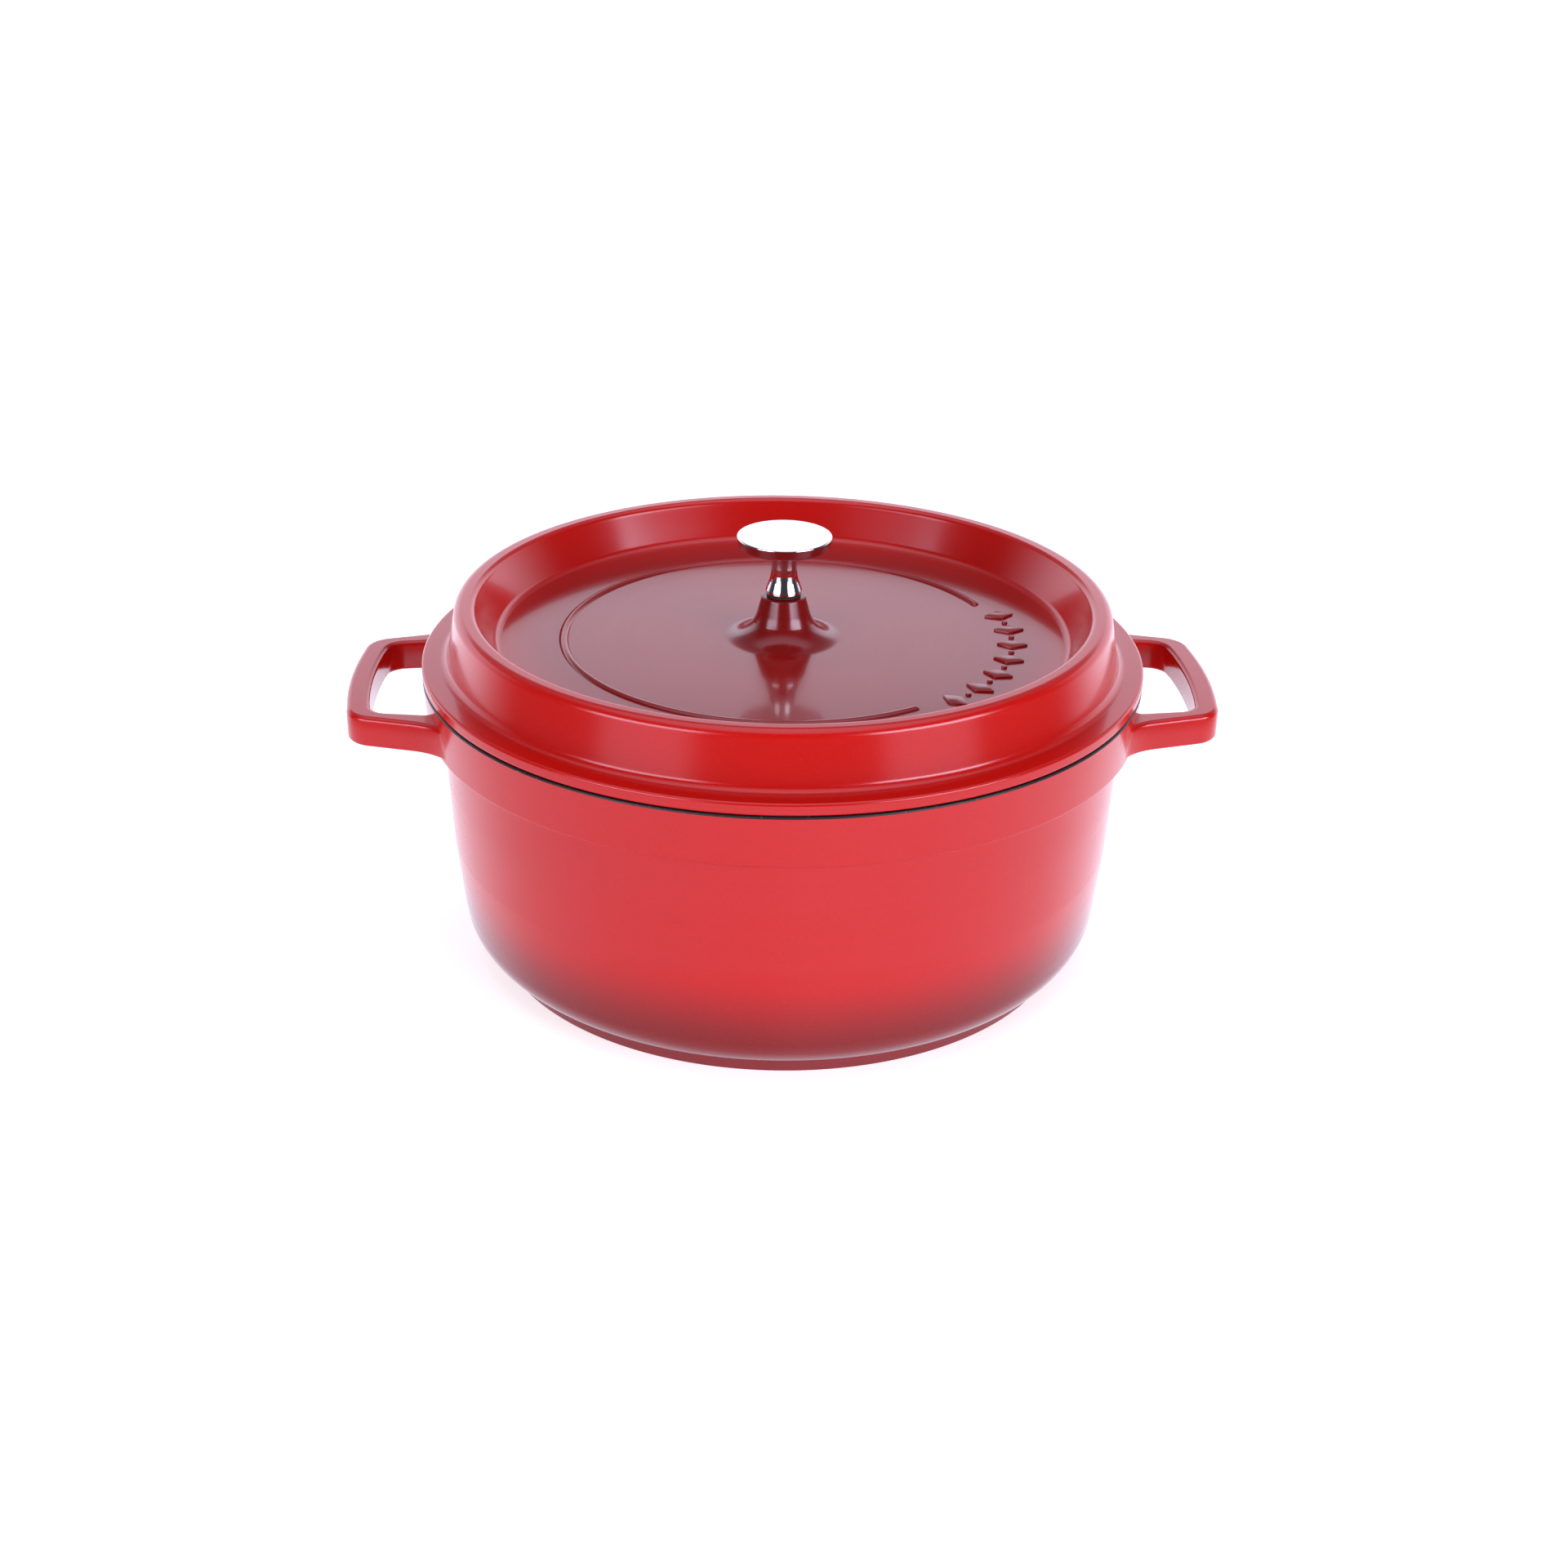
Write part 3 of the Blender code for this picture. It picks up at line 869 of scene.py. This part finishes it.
@dataclass
class PotCasting:
    """The pot: lacquered outside, black inside and on the rim."""

    lacquer: Finish
    lining: Finish
    steps: int = 256
    rim_radius: float = 145.0 * MM
    rim_height: float = 121.0 * MM
    rim_edge: float = 0.65 * MM
    band_foot_radius: float = 143.6 * MM
    band_foot_height: float = 100.5 * MM
    wall_top_radius: float = 137.3 * MM
    wall_waist: Point = (135.7 * MM, 51.0 * MM)
    wall_bow: float = 520.0 * MM
    wall_foot: Point = (131.5 * MM, 20.2 * MM)
    corner_radius: float = 18.0 * MM
    foot_radius: float = 118.8 * MM
    disc_recess: Point = (101.3 * MM, 2.1 * MM)
    wall: float = 4.4 * MM
    lining_lap: float = 0.1 * MM
    rim_inner_edge: float = 1.0 * MM
    band_edge: float = 1.0 * MM
    band_step: float = 1.5 * MM
    band_fillet: float = 2.5 * MM
    foot_fillet: float = 0.8 * MM
    foot_edge: float = 0.9 * MM
    inner_step: Point = (-2.0 * MM, 6.0 * MM)
    inner_blend: float = 6.0 * MM

    def _bottom_corner(self, inset: float, end_radius: float) -> list[Point]:
        """Arc of the body's bottom corner.

        Args:
            inset: Distance from the outer surface.
            end_radius: Distance from the axis at which the arc ends.

        Returns:
            Its points, from the wall down.
        """
        lean = math.atan2(self.wall_waist[0] - self.wall_foot[0],
                          self.wall_waist[1] - self.wall_foot[1])
        centre = (self.wall_foot[0] - self.corner_radius * math.cos(lean),
                  self.wall_foot[1] + self.corner_radius * math.sin(lean))
        radius = self.corner_radius - inset
        end = -math.degrees(math.acos((end_radius - centre[0]) / radius))
        return arc(centre, radius, -math.degrees(lean), end, 4.0)

    def _rim_break(self) -> Point:
        """Where the black of the rim ends, just under its outer edge."""
        drop = self.rim_edge + self.lining_lap
        band_height = self.rim_height - self.band_foot_height
        slope = (self.rim_radius - self.band_foot_radius) / band_height
        return (self.rim_radius - drop * slope, self.rim_height - drop)

    def outside(self) -> list[Point]:
        """Lacquered side of the section, from under the rim's edge to the disc's recess."""
        corner = [(*point, 0.0) for point in self._bottom_corner(0.0, self.foot_radius)]
        corner[-1] = (*corner[-1][:2], self.foot_fillet)
        return rounded([
            (*self._rim_break(), 0.0),
            (self.band_foot_radius, self.band_foot_height, self.band_edge),
            (self.wall_top_radius, self.band_foot_height - self.band_step, self.band_fillet),
            (*self.wall_waist, self.wall_bow),
            *corner,
            (self.foot_radius, 0.0, self.foot_edge),
            (self.disc_recess[0], 0.0, 0.0),
            (*self.disc_recess, 0.0),
            (0.0, self.disc_recess[1], 0.0),
        ])

    def inside(self) -> list[Point]:
        """Black side of the section, from the middle of the floor up over the rim's edge."""
        corner = self._bottom_corner(self.wall, self.foot_radius - self.wall)[::-1]
        band = self.band_foot_radius - self.wall
        low, high = (self.band_foot_height + rise for rise in self.inner_step)
        return rounded([
            (0.0, corner[0][1], 0.0),
            *[(*point, 0.0) for point in corner],
            (self.wall_waist[0] - self.wall, self.wall_waist[1], self.wall_bow),
            (self.wall_top_radius - self.wall, low, self.inner_blend),
            (band, high, self.inner_blend),
            (band, self.rim_height, self.rim_inner_edge),
            (self.rim_radius, self.rim_height, self.rim_edge),
            (*self._rim_break(), 0.0),
        ])

    def build(self) -> None:
        """Model the pot with both its handles."""
        pot = joined("pot_casting", [
            turned_sheet("pot_outside", braced(self.outside()), self.steps, self.lacquer),
            turned_sheet("pot_inside", braced(self.inside()), self.steps, self.lining),
        ])
        for side in Side:
            combine(pot, LoopHandle().build(side, self.lacquer), "UNION")
        hand_over(pot, Body.POT, "pot_body")


@dataclass
class BaseDisc:
    """Steel disc in the pot's foot, with two turned grooves."""

    finish: Finish
    grooves: Point = (35.0 * MM, 70.0 * MM)
    groove_width: float = 1.6 * MM
    groove_depth: float = 0.6 * MM
    edge: float = 0.25 * MM
    steps: int = 192

    def build(self) -> None:
        """Model the disc."""
        low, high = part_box("base_plate")
        floor = low.z + self.groove_depth
        section = [(high.y, high.z), (high.y, low.z)]
        for groove in reversed(self.grooves):
            far, near = groove + self.groove_width / 2.0, groove - self.groove_width / 2.0
            section += [(far, low.z), (far, floor), (near, floor), (near, low.z)]
        path = [(0.0, high.z, 0.0), *[(*point, self.edge) for point in section], (0.0, low.z, 0.0)]
        disc = turned("base_disc", braced(rounded(path, 15.0)), self.steps, self.finish)
        hand_over(disc, Body.POT, "base_plate")


# ---------------------------------------------------------------- the lid


@dataclass
class LidCasting:
    """The lid: a deep rim ridge round a flat panel, a bead ring and a boss for the knob."""

    lacquer: Finish
    lining: Finish
    steps: int = 256
    seat: float = 121.3 * MM
    flange_radius: float = 145.0 * MM
    flange_thickness: float = 5.0 * MM
    crest: float = 148.4 * MM
    flange_edges: Point = (1.0 * MM, 1.4 * MM)
    lining_edge: float = 143.0 * MM
    ridge_inside: float = 122.75 * MM
    ridge_outside: float = 131.75 * MM
    wall_foot: float = 134.9 * MM
    wall_fillet: float = 3.4 * MM
    crest_drop: float = 2.0 * MM
    crest_insets: Point = (0.9 * MM, 0.6 * MM)
    crest_edges: Corner = (2.0 * MM, 2.6 * MM, 3.6 * MM)
    panel_radius: float = 115.5 * MM
    panel_fillet: float = 3.5 * MM
    panel: float = 132.3 * MM
    wall: float = 4.2 * MM
    skirt: Point = (134.6 * MM, 138.2 * MM)
    skirt_depth: float = 4.0 * MM
    skirt_blends: Point = (0.3 * MM, 2.0 * MM)
    hollow_inset: float = 1.0 * MM
    hollow_drop: float = 1.5 * MM
    hollow_foot: float = 118.3 * MM
    hollow_edge: float = 0.8 * MM
    hollow_blend: float = 4.0 * MM
    boss_top: float = 149.6 * MM
    boss_top_radius: float = 8.7 * MM
    boss_edge: float = 0.6 * MM
    boss_neck: Corner = (11.3 * MM, 140.6 * MM, 20.0 * MM)
    boss_foot_radius: float = 15.8 * MM
    boss_flare: float = 13.0 * MM
    boss_recess: Point = (7.4 * MM, 13.5 * MM)
    recess_edges: Point = (0.5 * MM, 1.5 * MM)
    boss_web: float = 9.0 * MM
    screw_hole: float = 3.3 * MM
    bead_radius: float = 88.3 * MM
    bead_half_width: float = 1.9 * MM
    bead_rise: float = 1.0 * MM
    bead_start: float = 22.9
    bead_end: float = 302.2
    bead_steps: int = 150
    bead_end_fit: float = 0.985
    sink: float = 0.4 * MM
    lozenges: int = 7
    lozenge: Point = (6.6 * MM, 4.0 * MM)
    lozenge_corner: float = 0.9 * MM
    stud: float = 1.2 * MM
    stud_sides: int = 20
    ornament_radius: float = 92.3 * MM
    ornament_rise: float = 0.8 * MM
    ornament_edge: float = 0.35 * MM
    ornament_start: float = -47.0
    ornament_step: float = 10.0

    def over(self) -> list[Point]:
        """Lacquered side of the section, from the screw hole out to under the flange."""
        flange_top = self.seat + self.flange_thickness
        return rounded([
            (self.screw_hole, self.boss_top, 0.0),
            (self.boss_top_radius, self.boss_top, self.boss_edge),
            self.boss_neck,
            (self.boss_foot_radius, self.panel, self.boss_flare),
            (self.panel_radius, self.panel, self.panel_fillet),
            (self.ridge_inside, self.crest - self.crest_drop, self.crest_edges[0]),
            (self.ridge_inside + self.crest_insets[0], self.crest, self.crest_edges[1]),
            (self.ridge_outside - self.crest_insets[1], self.crest, self.crest_edges[2]),
            (self.wall_foot, flange_top, self.wall_fillet),
            (self.flange_radius, flange_top, self.flange_edges[0]),
            (self.flange_radius, self.seat, self.flange_edges[1]),
            (self.lining_edge, self.seat, 0.0),
        ])

    def under(self) -> list[Point]:
        """Black side of the section, from under the flange back to the screw hole."""
        ceiling = self.crest - self.wall - self.hollow_drop
        below = self.panel - self.wall
        skirt_end = self.seat - self.skirt_depth
        web = self.boss_top - self.boss_web
        return rounded([
            (self.lining_edge, self.seat, 0.0),
            (self.skirt[1], self.seat, self.skirt_blends[0]),
            (self.skirt[1], skirt_end, self.hollow_edge),
            (self.skirt[0], skirt_end, self.hollow_edge),
            (self.wall_foot - self.wall, self.seat, self.skirt_blends[1]),
            (self.ridge_outside - self.wall, ceiling, self.hollow_edge),
            (self.ridge_inside + self.wall - self.hollow_inset, ceiling, self.hollow_edge),
            (self.hollow_foot, below, self.hollow_blend),
            (self.boss_recess[1], below, self.recess_edges[1]),
            (self.boss_recess[0], web, self.recess_edges[0]),
            (self.screw_hole, web, 0.0),
            (self.screw_hole, self.boss_top, 0.0),
        ], 10.0)

    def _hump(self) -> list[Point]:
        """Round top of the bead's section, as offsets from its middle and heights."""
        half = self.bead_half_width
        bulge = (half * half + self.bead_rise ** 2) / (2.0 * self.bead_rise)
        reach = math.degrees(math.asin(half / bulge))
        centre = (0.0, self.panel + self.bead_rise - bulge)
        return arc(centre, bulge, 90.0 - reach, 90.0 + reach, 9.0)

    def _bead(self) -> Piece:
        """Open ring of raised bead with round ends."""
        hump = self._hump()
        low = self.panel - self.sink
        start, end = math.radians(self.bead_start), math.radians(self.bead_end)
        section = [(self.bead_radius + offset, height)
                   for offset, height in [(hump[0][0], low), *hump, (hump[-1][0], low)]]
        bead = draw_face("bead", [(r * math.cos(start), r * math.sin(start), z)
                                  for r, z in section])
        bpy.ops.mesh.spin(steps=self.bead_steps, angle=end - start, center=ORIGIN, axis=DOWN)
        face_outwards()
        bpy.ops.object.mode_set(mode="OBJECT")
        bead.data.materials.append(self.lacquer)
        for angle in (start, end):
            combine(bead, self._bead_end(angle), "UNION")
        return bead

    def _bead_end(self, angle: float) -> Piece:
        """Dome that rounds the bead off.

        Args:
            angle: Where it stands about the axis, in radians.

        Returns:
            The dome, sunk a little into the panel.
        """
        low = self.panel - self.sink
        side = [(self.bead_end_fit * offset, height)
                for offset, height in self._hump() if offset > TOUCH]
        path = [(0.0, low), (side[0][0], low), *side, (0.0, self.panel + self.bead_rise)]
        dome = turned("bead_end", path, 24, self.lacquer)
        dome.location = (self.bead_radius * math.cos(angle),
                         self.bead_radius * math.sin(angle), 0.0)
        take_up(dome)
        return named(dome, "bead_end")

    def _figure(self, angle: float, size: Point, sides: int) -> Piece:
        """One raised figure of the ornament, with eased top edges.

        Args:
            angle: Where it stands about the axis, in degrees.
            size: Its half extent outwards and its half extent along the rim.
            sides: Four for a lozenge, more for a stud.

        Returns:
            The figure, sunk a little into the panel.
        """
        turn = math.radians(angle)
        place = (self.ornament_radius * math.cos(turn), self.ornament_radius * math.sin(turn),
                 self.panel + (self.ornament_rise - self.sink) / 2.0)
        deselect_all()
        bpy.ops.mesh.primitive_cylinder_add(vertices=sides, radius=1.0, location=place,
                                            depth=self.ornament_rise + self.sink,
                                            rotation=(0.0, 0.0, turn - math.pi / 2.0),
                                            scale=(size[1], size[0], 1.0))
        figure = named(bpy.context.object, "figure")
        bpy.ops.object.mode_set(mode="EDIT")
        if sides == 4:
            select_where("EDGE", lambda a, b: abs(a.z - b.z) > self.sink)
            bpy.ops.mesh.bevel(offset=self.lozenge_corner, segments=4, profile=0.5)
        top = self.panel + self.ornament_rise
        select_where("EDGE", lambda a, b: min(a.z, b.z) > top - TOUCH)
        bpy.ops.mesh.bevel(offset=self.ornament_edge, segments=3, profile=0.5)
        bpy.ops.object.mode_set(mode="OBJECT")
        figure.data.materials.append(self.lacquer)
        return figure

    def _ornament(self) -> Piece:
        """Row of lozenges with studs between them, in the bead's gap."""
        figures = []
        for place in range(2 * self.lozenges - 1):
            angle = self.ornament_start + place * self.ornament_step / 2.0
            size, sides = self.lozenge, 4
            if place % 2:
                size, sides = (self.stud, self.stud), self.stud_sides
            figures.append(self._figure(angle, size, sides))
        return joined("ornament", figures)

    def build(self) -> None:
        """Model the lid with its bead ring and ornament."""
        lid = joined("lid_casting", [
            turned_sheet("lid_over", braced(self.over()), self.steps, self.lacquer),
            turned_sheet("lid_under", braced(self.under()), self.steps, self.lining),
        ])
        combine(lid, self._bead(), "UNION")
        combine(lid, self._ornament(), "UNION")
        hand_over(lid, Body.COVER, "lid")


# ---------------------------------------------------------------- the knob


@dataclass
class Knob:
    """Polished mushroom knob, bored from below for its screw."""

    finish: Finish
    steps: int = 128
    disc_thickness: float = 4.5 * MM
    disc_edges: Point = (0.5 * MM, 1.2 * MM)
    disc_lean: float = 0.7 * MM
    stem_radius: float = 5.15 * MM
    stem_fillet: float = 1.4 * MM
    flare_height: float = 7.3 * MM
    flare: float = 19.0 * MM
    collar_radius: float = 7.3 * MM
    collar: Point = (0.6 * MM, 1.6 * MM)
    collar_edges: Corner = (0.1 * MM, 0.2 * MM, 0.4 * MM)
    collar_chamfer: float = 0.5 * MM
    bore_radius: float = 3.25 * MM
    bore_depth: float = 11.0 * MM
    bore_cone: float = 1.5 * MM

    def build(self) -> None:
        """Model the knob."""
        low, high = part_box("knob")
        foot, top, radius = low.z, high.z, high.x
        below = top - self.disc_thickness
        path = rounded([
            (0.0, top, 0.0),
            (radius, top, self.disc_edges[0]),
            (radius - self.disc_lean, below, self.disc_edges[1]),
            (self.stem_radius, below, self.stem_fillet),
            (self.stem_radius, foot + self.flare_height, self.flare),
            (self.collar_radius, foot + self.collar[1], self.collar_edges[2]),
            (self.collar_radius, foot + self.collar[0], self.collar_edges[1]),
            (self.collar_radius - self.collar_chamfer, foot, self.collar_edges[0]),
            (self.bore_radius, foot, 0.0),
            (self.bore_radius, foot + self.bore_depth, 0.0),
            (0.0, foot + self.bore_depth + self.bore_cone, 0.0),
        ])
        knob = turned("knob_turned", braced(path, 0.2 * MM, 4.0 * MM), self.steps, self.finish)
        hand_over(knob, Body.COVER, "knob")


@dataclass
class KnobFixings:
    """Gasket, washers and cap screw that hold the knob to the lid's boss."""

    rubber: Finish
    plating: Finish
    steps: int = 96
    hole: float = 3.3 * MM
    seal_edge: float = 0.15 * MM
    washer_edge: float = 0.2 * MM
    thread: float = 2.95 * MM
    thread_chamfer: float = 0.6 * MM
    head_height: float = 4.0 * MM
    head_edges: Corner = (1.0 * MM, 0.3 * MM, 0.15 * MM)
    socket_radius: float = 2.3 * MM
    socket_depth: float = 2.2 * MM
    slit: float = 0.8 * MM
    slit_lean: float = 25.0

    def _ring(self, node: str, name: str, finish: Finish, edge: float) -> Piece:
        """Flat ring that fills its CAD node's box.

        Args:
            node: The CAD node.
            name: Name of the ring.
            finish: Its material.
            edge: Radius of its four edges.

        Returns:
            The ring.
        """
        low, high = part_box(node)
        joint = (self.hole, (low.z + high.z) / 2.0, 0.0)
        path = rounded([
            joint,
            (self.hole, high.z, edge), (high.y, high.z, edge),
            (high.y, low.z, edge), (self.hole, low.z, edge),
            joint,
        ], 30.0)
        return turned(name, path, self.steps, finish)

    def _lock_washer(self) -> Piece:
        """Spring ring with its slanted slit."""
        ring = self._ring("lock_washer", "spring_ring", self.plating, self.washer_edge)
        low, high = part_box("lock_washer")
        middle = (low.z + high.z) / 2.0
        deselect_all()
        bpy.ops.mesh.primitive_cube_add(size=1.0, location=(high.x, 0.0, middle),
                                        scale=(2.0 * high.x, self.slit, 4.0 * (high.z - low.z)),
                                        rotation=(math.radians(self.slit_lean), 0.0, 0.0))
        combine(ring, named(bpy.context.object, "slit"), "DIFFERENCE")
        return ring

    def _screw(self) -> Piece:
        """Cap screw, head down, with a hexagon socket."""
        low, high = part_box("knob_screw")
        under_head = low.z + self.head_height
        path = rounded([
            (0.0, high.z, 0.0),
            (self.thread - self.thread_chamfer, high.z, 0.0),
            (self.thread, high.z - self.thread_chamfer, 0.0),
            (self.thread, under_head, self.head_edges[2]),
            (high.y, under_head, self.head_edges[1]),
            (high.y, low.z, self.head_edges[0]),
            (0.0, low.z, 0.0),
        ], 10.0)
        path = braced(path, 0.15 * MM, 2.0 * MM)
        screw = turned("cap_screw", path, self.steps, self.plating)
        deselect_all()
        bpy.ops.mesh.primitive_cylinder_add(vertices=6, radius=self.socket_radius,
                                            depth=2.0 * self.socket_depth,
                                            location=(0.0, 0.0, low.z))
        combine(screw, named(bpy.context.object, "socket"), "DIFFERENCE")
        return screw

    def build(self) -> None:
        """Model the four fixings."""
        gasket = self._ring("knob_gasket", "knob_seal", self.rubber, self.seal_edge)
        hand_over(gasket, Body.COVER, "knob_gasket")
        washer = self._ring("flat_washer", "plain_washer", self.plating, self.washer_edge)
        hand_over(washer, Body.COVER, "flat_washer")
        hand_over(self._lock_washer(), Body.COVER, "lock_washer")
        hand_over(self._screw(), Body.COVER, "knob_screw")


# ---------------------------------------------------------------- the studio


@dataclass
class Studio:
    """Pale floor, soft light and the camera.

    Sides are angles from the camera's direction in radians, and heights run from -1 straight
    down to 1 straight up.
    """

    camera_place: Place = (-39.6 * MM, -908.0 * MM, 495.7 * MM)
    camera_aim: Place = (1.3 * MM, -0.7 * MM, 66.0 * MM)
    camera_roll: float = 0.925
    lens: float = 55.5
    floor_size: float = 8.0
    floor_gap: float = 0.2 * MM
    middle: Point = (-0.1, 0.1)
    lamp_sides: Point = (0.5, 1.2)
    lamp_side_edge: float = 0.14
    lamp_heights: Point = (0.14, 0.46)
    left_lamp: float = 6.5
    right_lamp: float = 9.5
    glow_sides: Point = (0.55, 1.1)
    glow_side_edge: float = 0.2
    glow_heights: Point = (-0.2, 0.1)
    height_edge: float = 0.1
    glow: float = 1.3
    behind: Point = (1.7, 2.3)
    backdrop: float = 1.42
    backdrop_heights: Point = (-0.34, 0.42)
    backdrop_edge: float = 0.08
    room_behind: float = 0.2
    ceiling_heights: Point = (0.72, 0.97)
    ceiling: float = 1.25
    table: float = 1.1
    table_right: float = 0.12
    table_rim: Point = (-0.4, -0.28)
    table_shade: float = 0.5
    table_shade_depths: Point = (0.45, 0.8)
    gloom: float = 0.05
    paper_room: float = 1.15
    cast: Colour = (0.97, 0.96, 1.12)

    def place_camera(self) -> None:
        """Set the camera at its place, without shift or depth of field."""
        data = bpy.data.cameras.new("camera")
        data.lens = self.lens
        data.sensor_width = 36.0
        data.clip_start = 0.05
        data.clip_end = 50.0
        camera = bpy.data.objects.new("camera", data)
        bpy.context.scene.collection.objects.link(camera)
        view = Vector(self.camera_aim) - Vector(self.camera_place)
        camera.location = self.camera_place
        camera.rotation_mode = "QUATERNION"
        roll = Quaternion((0.0, 0.0, 1.0), math.radians(self.camera_roll))
        camera.rotation_quaternion = view.to_track_quat("-Z", "Y") @ roll
        bpy.context.scene.camera = camera

    def lay_floor(self) -> None:
        """Lay a plain pale floor under the foot."""
        deselect_all()
        place = (0.0, 0.0, -self.floor_gap)
        bpy.ops.mesh.primitive_plane_add(size=self.floor_size, location=place)
        floor = named(bpy.context.object, "floor")
        floor.data.materials.append(StudioPaper().make())
        floor.visible_glossy = False

    def light(self) -> None:
        """Light the room: backdrop, white table, ceiling, and two soft lamps high in front.

        Only what the room lights and what mirrors it sees these; the view itself is plain.
        """
        world = bpy.data.worlds.new("studio")
        bpy.context.scene.world = world
        world.use_nodes = True
        net = Network(world.node_tree)
        x, y, z = net.axes("Generated")
        aside = net.heading((x * x) ** 0.5, -1.0 * y)
        to_right = net.ease(x, *self.middle)
        lamps = (net.between(aside, *self.lamp_sides, self.lamp_side_edge)
                 * net.between(z, *self.lamp_heights, self.height_edge)
                 * (self.left_lamp + to_right * (self.right_lamp - self.left_lamp)))
        glow = (net.between(aside, *self.glow_sides, self.glow_side_edge)
                * net.between(z, *self.glow_heights, self.height_edge) * self.glow)
        behind = net.ease(aside, *self.behind)
        backdrop = behind * net.between(z, *self.backdrop_heights, self.backdrop_edge)
        table = (1.0 - net.ease(z, *self.table_rim)) * (self.table + to_right * self.table_right)
        shade = net.ease(-1.0 * z, *self.table_shade_depths) * self.table_shade
        above = net.ease(z, *self.ceiling_heights) * self.ceiling
        level = (lamps + glow + backdrop * self.backdrop + table - shade
                 + behind * self.room_behind + above + self.gloom)
        seen = net.node("ShaderNodeLightPath", {}, {}, "Is Camera Ray")
        level = level * (1.0 - seen) + seen * self.paper_room
        background = world.node_tree.nodes["Background"]
        colour = net.vector(*(level * part for part in self.cast))
        world.node_tree.links.new(colour.socket, background.inputs["Color"])

    def build(self) -> None:
        """Set up the whole studio."""
        bpy.context.scene.view_settings.view_transform = "Standard"
        self.place_camera()
        self.lay_floor()
        self.light()


def corners(box: tuple[Vector, Vector]) -> list[list[float]]:
    """Box as plain lists of numbers."""
    return [list(corner) for corner in box]


def main() -> None:
    """Build the studio and every piece."""
    logging.basicConfig(level=logging.INFO, format="%(message)s")
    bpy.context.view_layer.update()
    Studio().build()
    lining = NonStick().make()
    # The pot's lacquer is darker towards the foot.
    pot_red = DarkenedLacquer("pot_red", Fade.TOWARDS_FOOT,
                             dark_at=17.0 * MM, bright_at=50.0 * MM).make()
    # The lid's lacquer: painted shade darkens the up-facing panel towards the knob, and darkens the
    # boss under the knob more.
    lid_red = DarkenedLacquer("lid_red", Fade.TOWARDS_KNOB,
                             dark_at=92.0 * MM, bright_at=127.0 * MM,
                             core_within=21.0 * MM, deep=(0.27, 0.0055, 0.0045)).make()
    PotCasting(pot_red, lining).build()
    BaseDisc(FacedSteel().make()).build()
    LidCasting(lid_red, lining).build()
    Knob(PolishedSteel().make()).build()
    KnobFixings(SiliconeRubber().make(), PlatedSteel().make()).build()
    deselect_all()


if __name__ == "__main__":
    main()
